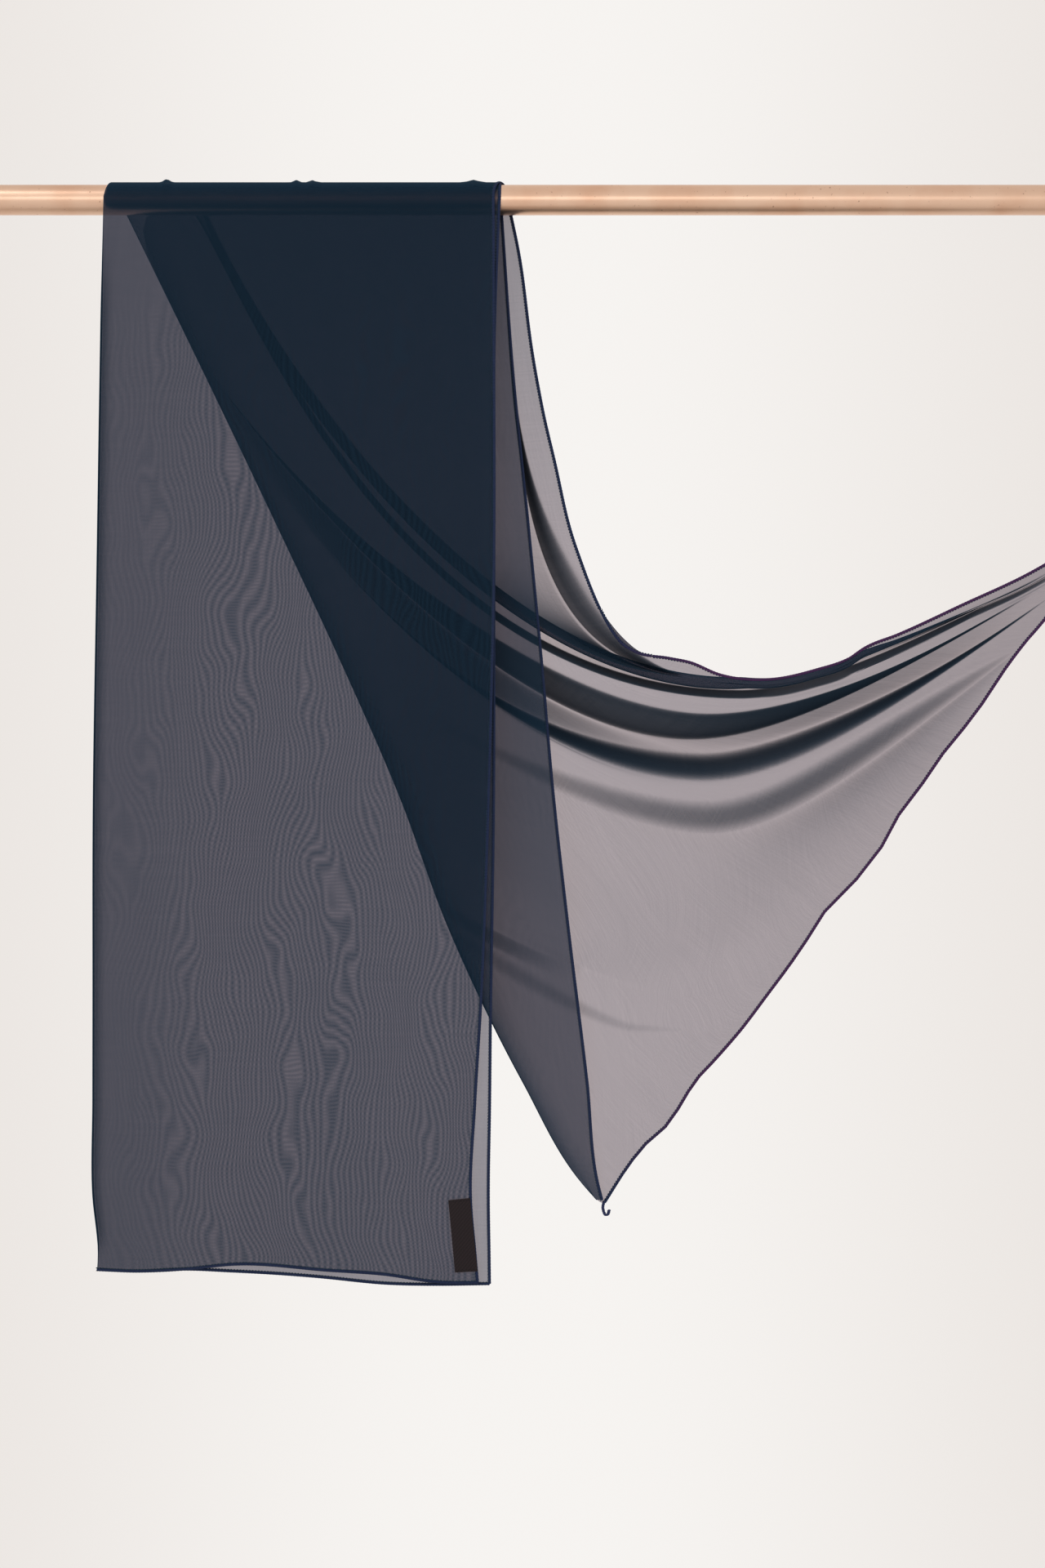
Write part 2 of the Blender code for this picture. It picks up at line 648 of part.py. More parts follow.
def back_swag(finish, hem_finish):
    """The outer ply at the back, drawn out by its corner, with its long and short hems."""
    surface = swag_surface(SWAG_COLUMNS, ROWS_PER_SPAN)
    add_wall("back_swag", surface, CLOTH_WALL, finish)
    long_hem = edge_strip(surface[0], surface[1])
    long_hem[0, :, 2] = -SEAM
    long_hem[-1] += unit(surface[0, -2] - surface[0, -1]) * CORNER_CLEARANCE
    add_wall("hem_swag_long", long_hem, HEM_WALL, hem_finish)
    rows = spaced(surface[:, -1], HEM_STEP)
    add_wall("hem_swag_short", edge_strip(surface[rows, -1], surface[rows, -3]), HEM_WALL, hem_finish)


def label(finish):
    """The woven label at the foot of the near ply, made from the ply's points moved out."""
    corners = [np.array(c) for c in (LABEL_TOP_LEFT, LABEL_TOP_RIGHT, LABEL_BOTTOM_RIGHT, LABEL_BOTTOM_LEFT)]
    lift = CLOTH_WALL / 2 + SEAM + LABEL_WALL / 2 + (HEM_WALL - CLOTH_WALL) / 2
    grid = []
    for down in np.linspace(0.0, 1.0, LABEL_ROWS):
        left = corners[0] + (corners[3] - corners[0]) * down
        right = corners[1] + (corners[2] - corners[1]) * down
        row = []
        for across in np.linspace(0.0, 1.0, LABEL_COLUMNS):
            x, drop = left + (right - left) * across
            point = front_point(np.array([x]), 1.0, drop)[0]
            row.append(point - np.array([0.0, lift, 0.0]))
        grid.append(row)
    add_wall("label", np.array(grid), LABEL_WALL, finish)


def thread_tail(finish):
    """The short tail of overlock thread at the hanging corner."""
    curve = bpy.data.curves.new("thread_tail", "CURVE")
    curve.dimensions = "3D"
    curve.bevel_depth = TAIL_RADIUS
    curve.bevel_resolution = 1
    curve.use_fill_caps = True
    spline = curve.splines.new("POLY")
    spline.points.add(len(TAIL_ROUTE) - 1)
    for point, place in zip(spline.points, TAIL_ROUTE):
        point.co = (*place, 1.0)
    curve.materials.append(finish)
    bpy.context.scene.collection.objects.link(bpy.data.objects.new("thread_tail", curve))


def rod(finish):
    """The round rod, with small chamfers at its flat ends."""
    half = ROD_LENGTH / 2
    rings = (
        (-half, ROD_RADIUS - ROD_CHAMFER),
        (-half + ROD_CHAMFER, ROD_RADIUS),
        (half - ROD_CHAMFER, ROD_RADIUS),
        (half, ROD_RADIUS - ROD_CHAMFER),
    )
    points = []
    for x, radius in rings:
        for side in range(ROD_SIDES):
            angle = math.tau * side / ROD_SIDES
            points.append((x, radius * math.cos(angle), radius * math.sin(angle)))
    faces = [tuple(range(ROD_SIDES)), tuple(range(len(points) - 1, len(points) - 1 - ROD_SIDES, -1))]
    for ring in range(len(rings) - 1):
        for side in range(ROD_SIDES):
            here = ring * ROD_SIDES + side
            following = ring * ROD_SIDES + (side + 1) % ROD_SIDES
            faces.append((following, here, here + ROD_SIDES, following + ROD_SIDES))
    made = add_object("rod", points, faces, finish)
    made.data.set_sharp_from_angle(angle=math.radians(30))


def main():
    for old in list(bpy.data.objects):
        bpy.data.objects.remove(old, do_unlink=True)
    cloth = material("navy chiffon", CLOTH_COLOR, 0.85)
    hem = material("overlocked hem", HEM_COLOR, 0.80)
    rod(material("copper-plated tube", ROD_COLOR, 0.32, 1.0))
    front_leg(cloth)
    front_hems(hem)
    over_rod(cloth)
    top_hems(hem)
    back_flap(cloth)
    flap_hem(hem)
    back_swag(cloth, hem)
    label(material("woven label", LABEL_COLOR, 0.70))
    thread_tail(hem)


main()
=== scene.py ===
"""A navy chiffon scarf, folded in half lengthwise and hung over a copper-plated rod.

In front both plies hang straight, with their fold at the left. At the back the inner ply is a flap, and the outer
one is drawn out to the right by its free corner, in a swag. Sizes are metres. X runs along the rod, Y away from the
front and Z up, and a drop is a depth below the rod's axis.
"""
import math
from collections import namedtuple

import bmesh
import bpy
import mathutils
import numpy as np
from bpy.props import FloatProperty, FloatVectorProperty, IntProperty, PointerProperty
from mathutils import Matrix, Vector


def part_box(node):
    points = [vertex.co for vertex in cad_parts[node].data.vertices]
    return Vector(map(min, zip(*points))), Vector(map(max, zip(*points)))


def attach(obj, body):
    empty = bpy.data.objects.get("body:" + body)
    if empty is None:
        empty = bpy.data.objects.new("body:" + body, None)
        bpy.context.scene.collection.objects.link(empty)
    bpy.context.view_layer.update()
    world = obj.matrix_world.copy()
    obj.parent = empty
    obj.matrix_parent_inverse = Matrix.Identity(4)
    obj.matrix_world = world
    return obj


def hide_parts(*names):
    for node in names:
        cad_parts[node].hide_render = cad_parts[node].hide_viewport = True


bl_info = {
    "name": "Chiffon scarf on a rod",
    "version": (1, 0, 0),
    "blender": (4, 5, 0),
    "location": "3D View > Sidebar > Scarf",
    "description": "Dresses the packed scarf and rod in chiffon, overlock thread and copper plate",
    "category": "Object",
}

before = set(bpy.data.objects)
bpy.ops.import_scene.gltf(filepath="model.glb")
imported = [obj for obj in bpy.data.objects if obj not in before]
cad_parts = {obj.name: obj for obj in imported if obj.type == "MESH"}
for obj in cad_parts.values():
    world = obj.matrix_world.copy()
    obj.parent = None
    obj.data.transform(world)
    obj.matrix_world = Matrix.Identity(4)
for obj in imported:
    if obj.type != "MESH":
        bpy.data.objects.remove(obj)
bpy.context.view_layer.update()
BODY = "root"

# ---------------------------------------------------------------- shape of the cloth

ROD_LOW, ROD_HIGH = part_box("rod")
ROD_RADIUS = ROD_HIGH.z
ROD_LENGTH = ROD_HIGH.x - ROD_LOW.x
# The solids' wall, the distance between two plies' middles, and the gap that parts the solids
CLOTH_WALL = 0.0010
PLY_PITCH = 0.0015
SEAM = 0.0003
INNER_RADIUS = ROD_RADIUS + SEAM + CLOTH_WALL / 2
OUTER_RADIUS = INNER_RADIUS + PLY_PITCH
# The cloth runs this far into its rolled hem
INTO_HEM = 0.0015
# The way round a fold of two plies, as x out from the fold and share of the pitch
TURN_ANGLES = np.linspace(0.0, math.pi, 7)
TURN_X = PLY_PITCH / 2 * (1 - np.sin(TURN_ANGLES))
TURN_SHARES = (1 - np.cos(TURN_ANGLES)) / 2
# Columns lie closer together towards a fold, by this power
CLOSER_COLUMNS = 1.7
# Rows and columns of points on the cloth, and steps along a hem
LEG_ROWS = 130
TOP_ROWS = 25
PLY_COLUMNS = 100
FLAP_COLUMNS = 60
HEM_STEPS = 160
# How far inside the cloth's edge its way out is read
INSIDE = 0.004
# The rod's steps round each end's edge and along it
END_STEPS = 5
ROD_STEPS = 40

# Front leg
FRONT_EDGES = (
    # drop, fold_x, near_hem_x, far_hem_x
    (0.000, -0.3925, -0.0258, -0.0200),
    (0.100, -0.3945, -0.0255, -0.0240),
    (0.350, -0.3985, -0.0254, -0.0252),
    (0.580, -0.4020, -0.0308, -0.0256),
    (0.760, -0.4022, -0.0377, -0.0283),
    (0.850, -0.4023, -0.0431, -0.0292),
    (0.940, -0.4023, -0.0470, -0.0304),
    (0.990, -0.3975, -0.0428, -0.0297),
    (1.023, -0.3992, -0.0400, -0.0293),
)
FRONT_ENDS = (
    # x, near_drop, far_drop
    (-0.402, 1.0065, 1.0065),
    (-0.365, 1.0075, 1.0080),
    (-0.313, 1.0050, 1.0060),
    (-0.272, 1.0015, 1.0085),
    (-0.184, 1.0070, 1.0145),
    (-0.129, 1.0100, 1.0190),
    (-0.079, 1.0175, 1.0205),
    (-0.020, 1.0180, 1.0200),
)
# Places on the leg's middle and near its open side
MIDDLE_X = -0.200
OPEN_SIDE_X = -0.030
# How far the plies part, and the ways from the fold and down from the rod over which they do
PLY_SPREAD = 0.0020
SPREAD_REACH = 0.100
SPREAD_DROP = 0.600
FLUTES = (
    # x, width, swell at the hem
    (-0.330, 0.050, 0.0035),
    (-0.225, 0.060, -0.0030),
    (-0.125, 0.050, 0.0035),
)

# A fold that isn't pressed stands open. Each ply stands off the other beside it, and less towards its two ends.
LOOP_STANDS = 0.0055
LOOP_REACH = 0.014
LOOP_OPENS = 0.120
LOOP_CLOSES = 0.040

# Over the rod
TOP_PLEATS = (
    # x, width, height
    (-0.335, 0.0035, 0.0030),
    (-0.213, 0.0025, 0.0022),
    (-0.197, 0.0025, 0.0026),
    (-0.046, 0.0060, 0.0024),
)

# Back flap
BACK_EDGES = (
    # drop, fold_x, hem_x
    (0.000, -0.3810, -0.0190),
    (0.154, -0.3057, -0.0080),
    (0.307, -0.2325, 0.0073),
    (0.430, -0.1748, 0.0193),
    (0.560, -0.1180, 0.0308),
    (0.690, -0.0695, 0.0454),
    (0.834, 0.0000, 0.0630),
    (0.932, 0.0578, 0.0735),
    (0.951, 0.0745, 0.0785),
)
FLAP_END = 0.946
FLAP_LEAN = 0.004

# Back swag
SWAG_END = (
    # drop, x
    (0.3251, 0.5267), (0.3649, 0.5135), (0.3948, 0.4993), (0.4104, 0.4853), (0.4415, 0.4614),
    (0.4727, 0.4409), (0.5039, 0.4173), (0.5350, 0.3922), (0.5506, 0.3827), (0.5662, 0.3696),
    (0.5818, 0.3593), (0.6129, 0.3424), (0.6285, 0.3302), (0.6441, 0.3176), (0.6597, 0.3014),
    (0.6752, 0.2874), (0.6908, 0.2780), (0.7220, 0.2570), (0.7531, 0.2336), (0.7843, 0.2095),
    (0.8155, 0.1825), (0.8310, 0.1680), (0.8466, 0.1575), (0.8622, 0.1483), (0.8778, 0.1368),
    (0.8934, 0.1187), (0.9089, 0.1059), (0.9245, 0.0951), (0.9401, 0.0854), (0.9510, 0.0785),
)
# Waves along the short hem, and how far behind the rod's axis the swag's front and its drawn corner lie
SWAG_END_WAVES = 5.0
SWAG_END_SWELL = 0.003
SWAG_FRONT = 0.0225
SWAG_CORNER = 0.0300
LONG_HEM = (
    # x, drop
    (-0.0130, 0.0000), (-0.0004, 0.0652), (0.0073, 0.1265), (0.0179, 0.1878), (0.0319, 0.2491),
    (0.0427, 0.2980), (0.0567, 0.3415), (0.0704, 0.3764), (0.0949, 0.4168), (0.1042, 0.4230),
    (0.1400, 0.4308), (0.1595, 0.4347), (0.1876, 0.4463), (0.2335, 0.4510), (0.2803, 0.4416),
    (0.3115, 0.4307), (0.3271, 0.4205), (0.3583, 0.4080), (0.4208, 0.3792), (0.4833, 0.3500),
    (0.5267, 0.3251),
)
# A fold's rows, as shares down from its upper edge to its lower one and back from the level above it to its own
SOFT_FOLD = ((0.00, 0.00), (0.12, 0.03), (0.28, 0.18), (0.50, 0.50), (0.72, 0.82), (0.88, 0.97), (1.00, 1.00))
FOLDS = {
    # The cloth leans back more and more, and stops short at a crisp lower edge
    "step": ((0.00, 0.00), (0.22, 0.08), (0.50, 0.36), (0.80, 0.74), (1.00, 0.96), (1.00, 1.00), (1.12, 1.00)),
    # The cloth leans back evenly, between firm edges
    "pleat": ((0.00, 0.00), (0.07, 0.03), (0.25, 0.24), (0.50, 0.50), (0.75, 0.76), (0.93, 0.97), (1.00, 1.00)),
    # The cloth leans back, steepest halfway, with soft edges
    "wave": SOFT_FOLD,
    # The same, but where it sinks it grows shallow sooner than it narrows
    "fade": SOFT_FOLD,
    # The cloth turns up at the lower edge and down again at the upper one, three plies thick between them
    "lap": ((0.92, 0.00), (1.00, 0.03), (1.00, 0.18), (0.50, 0.50), (0.00, 0.82), (0.00, 0.97), (0.08, 1.00)),
    # A line with no fold
    "": ((1.00, 1.00),),
}
# The power by which each fold narrows where it sinks
WIDTH_POWERS = {"step": 1.8, "pleat": 1.8, "lap": 1.8, "wave": 1.8, "": 1.0, "fade": 0.7}
# The lines that the swag hangs in below its long hem. Each falls from the rod, or from the slanting fold where
# start_x is None, to its lowest point and rises to the short hem. Steep is the share of its fall that it makes
# before it bends, and flat the share of its width that it then runs level. Width is a fold's width, and level how
# far behind the swag's front the cloth lies below it. Both swell along the line up to the share until, and are
# fullest at a share of that stretch. The powers gathers and fades are higher where they swell and sink faster.
Line = namedtuple(
    "Line",
    "name start_x start_drop low_x low_drop end_drop steep flat fold width level until fullest gathers fades",
)
SWAG_LINES = tuple(Line(*row) for row in (
    ("soft_fold", -0.0187, 0.0, 0.199, 0.4493, 0.3275, 0.6, 0.9, "step", 0.02, 0.044, 0.57, 0.73, 5.6, 4.6),
    ("shoulder", -0.215, 0.0, 0.185, 0.453, 0.333, 0.5, 0.5, "", 0.0, 0.0, 1.0, 0.5, 3.0, 3.0),
    ("roll", -0.306, 0.0, 0.197, 0.4592, 0.336, 0.23, 0.51, "lap", 0.0152, 0.025, 1.0, 0.6, 0.3, 3.2),
    ("ridge", -0.318, 0.0, 0.2081, 0.4661, 0.3415, 0.02, 0.68, "pleat", 0.007, 0.004, 1.0, 0.62, 0.7, 1.6),
    ("corner", None, 0.012, 0.185, 0.474, 0.347, 0.1, 0.55, "", 0.0, 0.004, 1.0, 0.6, 1.0, 1.6),
    ("first_fold", None, 0.135, 0.1661, 0.5046, 0.35, 0.02, 0.47, "pleat", 0.025, 0.072, 1.0, 0.55, 3.0, 5.4),
    ("second_fold", None, 0.196, 0.1739, 0.5469, 0.3649, 0.33, 0.41, "wave", 0.029, 0.012, 1.0, 0.59, 9.0, 4.4),
    ("third_fold", None, 0.42, 0.1828, 0.598, 0.418, 0.13, 0.36, "fade", 0.035, 0.046, 1.0, 0.59, 5.0, 3.4),
    ("belly", None, 0.5, 0.15, 0.65, 0.49, 0.35, 0.3, "", 0.0, 0.032, 1.0, 0.5, 2.4, 2.4),
    ("lower_belly", None, 0.58, 0.14, 0.705, 0.61, 0.3, 0.3, "", 0.0, 0.014, 1.0, 0.5, 2.4, 2.4),
    ("crease", None, 0.652, 0.148, 0.75, 0.735, 0.25, 0.2, "fade", 0.01, 0.016, 0.45, 0.44, 2.4, 1.6),
    ("hollow", None, 0.672, 0.13, 0.761, 0.754, 0.27, 0.2, "", 0.0, 0.001, 1.0, 0.3, 2.4, 2.4),
    ("arc", None, 0.698, 0.106, 0.785, 0.782, 0.3, 0.2, "fade", 0.019, 0.011, 0.85, 0.26, 1.0, 2.0),
    ("skirt", None, 0.775, 0.085, 0.835, 0.825, 0.35, 0.3, "", 0.0, 0.002, 1.0, 0.5, 2.6, 2.6),
    ("tail", None, 0.865, 0.08, 0.9, 0.895, 0.35, 0.3, "", 0.0, 0.0, 1.0, 0.5, 2.6, 2.6),
    ("tip", None, 0.94, 0.0765, 0.9495, 0.949, 0.35, 0.3, "", 0.0, 0.0, 1.0, 0.5, 2.6, 2.6),
))
# How far apart a fold's rows start and end
START_STEP = 0.0005
END_STEP = 0.0006
# How a line leaves the rod, as a share of its way across, and the slanting fold, as its way across by its fall
LEAN = 0.06
FOLD_SLOPE = 0.62
# How much further below the long hem each line stays, and the share of its length that it takes to get there
BELOW_STEP = 0.0008
BELOW_REACH = 0.12
# How a line rises to the short hem, as shares of its way across and up
RISE_FLAT = 0.27
RISE_BEND = (0.62, 0.50)
# Shares of a line that it takes to leave the rod and starts to bend at, and the corner's share of the short hem
LEAVES_ROD = 0.33
BENDS_BACK = 0.50
CORNER_SHARE = 0.33
LINE_STEPS = 240
# How closely rows are drawn to the short hem's line, and how far below the rod to the slanting fold's
END_REACH = 12
START_BELOW = 0.02
START_REACH = 0.06

# How open the weave is, as a share of the drawn swag's
HUNG_OPEN = 0.795
FLAP_OPEN = 0.635
FLAP_CLOSER = 0.14
FLAP_CLOSEST = 0.54
FLAP_CLOSER_REACH = 0.26
FLAP_BUNCHED = 0.20
FLAP_BUNCHED_REACH = 0.028
DRAWN_DROP = 0.42

# How strongly the plies beat in a moire: beside the leg's fold, away from it and below the rod, and on the flap
BEAT = 0.40
BEAT_BY_FOLD = 0.25
BEAT_FROM_FOLD = 0.015
BEAT_REACH = 0.12
BEAT_FROM_ROD = 0.02
BEAT_DROP = 0.15
FLAP_BEAT = 0.05

# Label and thread tail
LABEL_CORNERS = (
    # x, drop
    (-0.0693, 0.9395), (-0.0490, 0.9375), (-0.0420, 1.0060), (-0.0631, 1.0070),
)
LABEL_ROWS = 57
LABEL_COLUMNS = 17
LABEL_CLEAR = 0.0001
# Its seams, as shares down it, and the places along each, as shares across it
LABEL_SEAMS = (0.025, 0.975)
LABEL_SEAM = np.linspace(0.04, 0.96, 24)
TAIL_STRANDS = 3
TAIL_STEPS = 60
TAIL_TURNS = 4
TAIL_STOUTNESS = 5
TAIL_SPREAD = 0.0007
TAIL_FRAYS = 0.0001
TAIL_ROUTE = (
    # share, x, y, z
    (0.00, 0.0778, 0.0226, -0.9475),
    (0.35, 0.0766, 0.0226, -0.9548),
    (0.62, 0.0789, 0.0227, -0.9608),
    (0.80, 0.0812, 0.0228, -0.9604),
    (1.00, 0.0826, 0.0230, -0.9563),
)

# Stage
FRAME_ROWS = 1920
FLOOR = -1.6
FLOOR_RADIUS = 0.85
LIT_POINT = mathutils.Vector((0.0, 0.0, -0.45))
SOFTBOXES = (
    # name, place, size, watts
    ("front_softbox", (-0.4, -3.4, 0.1), (2.6, 0.9), 5.0),
    ("high_softbox", (-1.6, -1.4, 1.6), (1.4, 1.0), 6.0),
)


# ---------------------------------------------------------------- settings


def linear(hex_color):
    """An sRGB hex colour as linear red, green, blue and alpha."""
    parts = [int(hex_color[at:at + 2], 16) / 255 for at in (1, 3, 5)]
    return tuple(c / 12.92 if c <= 0.04045 else ((c + 0.055) / 1.055) ** 2.4 for c in parts) + (1.0,)


def colour(name, description, hex_color):
    """A colour setting."""
    return FloatVectorProperty(
        name=name, description=description, subtype="COLOR", size=4, min=0.0, max=1.0, default=linear(hex_color)
    )


def length(name, description, metres):
    """A length setting."""
    return FloatProperty(
        name=name, description=description, default=metres, min=0.0, subtype="DISTANCE", unit="LENGTH", precision=5
    )


class ClothSettings(bpy.types.PropertyGroup):
    columns: IntProperty(name="Columns", description="Points along each hanging line", default=220, min=20)
    rows_per_span: IntProperty(name="Rows", description="Rows between two hanging lines", default=4, min=1)
    passes: FloatProperty(
        name="Light passed", description="Share of light that one ply lets through, seen square on",
        default=0.48, min=0.0, max=1.0, subtype="FACTOR",
    )
    thread: colour("Thread", "Dyed chiffon thread", "#2a4051")
    drawn_tint: colour("Drawn tint", "What an open, drawn ply does to the light it passes", "#fff3f6")
    hung_tint: colour("Hung tint", "What a close, hanging ply does to the light it passes", "#fff7fc")
    crepe: length("Crepe", "Spacing of the crepe grain", 0.0016)
    beat: length("Moire", "Spacing of the moire where two plies hang face to face", 0.0050)
    weft_beat: length("Moire's rungs", "Spacing of the weft's own beat, which breaks the moire", 0.0036)


class HemSettings(bpy.types.PropertyGroup):
    width: length("Width", "Width of the rolled hem", 0.0027)
    thickness: length("Thickness", "Thickness of the rolled hem", 0.0016)
    pitch: length("Stitch pitch", "Distance from one overlock stitch to the next", 0.00285)
    thread_radius: length("Thread radius", "Radius of the overlock thread", 0.00016)
    roll: colour("Roll", "Cloth rolled four thick", "#455476")
    looper: colour("Looper thread", "Thread wound round the hem", "#4a537e")
    violet: colour("Violet", "Rolled cloth and looper thread on the drawn side", "#66456f")
    needle: colour("Needle thread", "Thread that shows just inside the hem", "#3f6274")


class RodSettings(bpy.types.PropertyGroup):
    sides: IntProperty(name="Sides", description="Sides round the rod", default=96, min=12)
    round_over: length("Round-over", "Radius of the ends' edges", 0.0012)
    plate: colour("Plate", "Copper plating", "#edd0bb")
    dark: colour("Tarnish", "Plating where it has dulled", "#dfb69c")
    pit: colour("Pits", "Specks where the plating is pitted", "#8a6250")


class LabelSettings(bpy.types.PropertyGroup):
    wall: length("Wall", "Thickness of the folded ribbon", 0.0006)
    ribbon: colour("Ribbon", "Woven satin ribbon", "#33272c")
    stitch: colour("Stitch", "Thread that holds the label", "#15161c")
    pitch: length("Stitch pitch", "Distance from one lockstitch to the next", 0.0024)
    thread_radius: length("Thread radius", "Radius of the lockstitch thread", 0.00018)


class StageSettings(bpy.types.PropertyGroup):
    wall: colour("Wall", "Off-white wall", "#d3d1cf")
    wall_side: colour("Wall's sides", "The wall, away from its middle", "#cac6c3")
    ceiling: colour("Ceiling", "Dimmer light from above", "#8f8a86")
    floor: colour("Floor", "Pale floor", "#e9e6e1")
    distance: length("Camera distance", "From the rod's axis to the camera", 2.26)
    metres_per_pixel: length("Scale", "Size of a pixel of the frame at the rod", 0.00077)
    rod_row: FloatProperty(name="Rod's row", description="Row of the frame that the rod's axis is on", default=245.0)


class ScarfSettings(bpy.types.PropertyGroup):
    cloth: PointerProperty(type=ClothSettings)
    hem: PointerProperty(type=HemSettings)
    rod: PointerProperty(type=RodSettings)
    label: PointerProperty(type=LabelSettings)
    stage: PointerProperty(type=StageSettings)


# ---------------------------------------------------------------- making meshes and nodes


def link_object(name, data):
    """An object in the scene."""
    made = bpy.data.objects.new(name, data)
    bpy.context.scene.collection.objects.link(made)
    return made


def fill_mesh(name, points, edges, faces):
    """A mesh of points, edges and faces."""
    mesh = bpy.data.meshes.new(name)
    mesh.from_pydata([tuple(map(float, point)) for point in points], edges, faces)
    return mesh


def cloth_lengths(grid):
    """A map of a grid in metres of cloth, across and along."""
    lengths = np.zeros((*grid.shape[:2], 2))
    lengths[:, 1:, 0] = np.cumsum(np.linalg.norm(np.diff(grid, axis=1), axis=-1), axis=1)
    lengths[1:, :, 1] = np.cumsum(np.linalg.norm(np.diff(grid, axis=0), axis=-1), axis=0)
    return lengths


def cloth_object(name, grids, material):
    """One smooth object of grids of points, each mapped in metres of cloth."""
    faces = []
    first = 0
    for grid in grids:
        rows, columns = grid.shape[:2]
        for row in range(rows - 1):
            for here in range(first + row * columns, first + (row + 1) * columns - 1):
                faces.append((here, here + columns, here + columns + 1, here + 1))
        first += rows * columns
    mesh = fill_mesh(name, np.concatenate([grid.reshape(-1, 3) for grid in grids]), [], faces)
    mesh.materials.append(material)
    corners = np.zeros(len(mesh.loops), dtype=np.int32)
    mesh.loops.foreach_get("vertex_index", corners)
    uv = np.concatenate([cloth_lengths(grid).reshape(-1, 2) for grid in grids]).astype(np.float32)
    mesh.uv_layers.new(name="cloth").data.foreach_set("uv", uv[corners].ravel())
    mesh.shade_smooth()
    return link_object(name, mesh)


def put(tree, kind, *values, **settings):
    """Adds a node. Settings are its own. Values go to its sockets in order, or by name in a dictionary.

    A node, or one of its outputs, is linked and not set. A list of nodes goes to one socket that takes several.
    """
    made = tree.nodes.new(kind)
    for key, value in settings.items():
        setattr(made, key, value)
    named = values[0] if values and isinstance(values[0], dict) else dict(enumerate(values))
    for key, value in named.items():
        for source in value if isinstance(value, list) else [value]:
            if isinstance(source, bpy.types.Node):
                source = next(output for output in source.outputs if output.enabled)
            if isinstance(source, bpy.types.NodeSocket):
                tree.links.new(source, made.inputs[key])
            else:
                made.inputs[key].default_value = source
    return made


# ---------------------------------------------------------------- materials


def new_material(name, uv_map=None):
    """A material, its emptied node tree, and the place on the object, or on a map, that its texture is read at."""
    made = bpy.data.materials.new(name)
    made.use_nodes = True
    tree = made.node_tree
    tree.nodes.clear()
    if uv_map:
        return made, tree, put(tree, "ShaderNodeUVMap", uv_map=uv_map).outputs["UV"]
    return made, tree, put(tree, "ShaderNodeTexCoord").outputs["Object"]


def shaded(paint, share):
    """A colour made brighter or darker."""
    return tuple(channel * share for channel in paint[:3]) + (1.0,)


def stretched_noise(tree, place, scale, detail, roughness=0.5, start=(0.0, 0.0, 0.0)):
    """Noise with a scale of its own along each axis."""
    way = put(tree, "ShaderNodeMapping", {"Vector": place, "Scale": scale, "Location": start})
    return put(tree, "ShaderNodeTexNoise", {"Vector": way, "Scale": 1.0, "Detail": detail, "Roughness": roughness})


def surfaced(made, paint, roughness, relief, strength, depth, more=None, veil=None):
    """Ends a material in a surface with a relief, or in a mix of it with a veil, given as its share and shader."""
    tree = made.node_tree
    bump = put(tree, "ShaderNodeBump", {"Height": relief, "Strength": strength, "Distance": depth})
    sockets = {"Base Color": paint, "Roughness": roughness, "Normal": bump, **(more or {})}
    shader = put(tree, "ShaderNodeBsdfPrincipled", sockets)
    if veil:
        shader = put(tree, "ShaderNodeMixShader", veil[0], shader, veil[1])
    put(tree, "ShaderNodeOutputMaterial", shader)
    return made


def beat_lines(tree, along, pitch, slip, slips):
    """Waves at a pitch, bent by how far two plies have slipped past each other."""
    lines = put(tree, "ShaderNodeMath", along, math.tau / pitch, operation="MULTIPLY")
    bent = put(tree, "ShaderNodeMath", slip, math.tau * slips, lines, operation="MULTIPLY_ADD")
    return put(tree, "ShaderNodeMath", bent, operation="SINE")


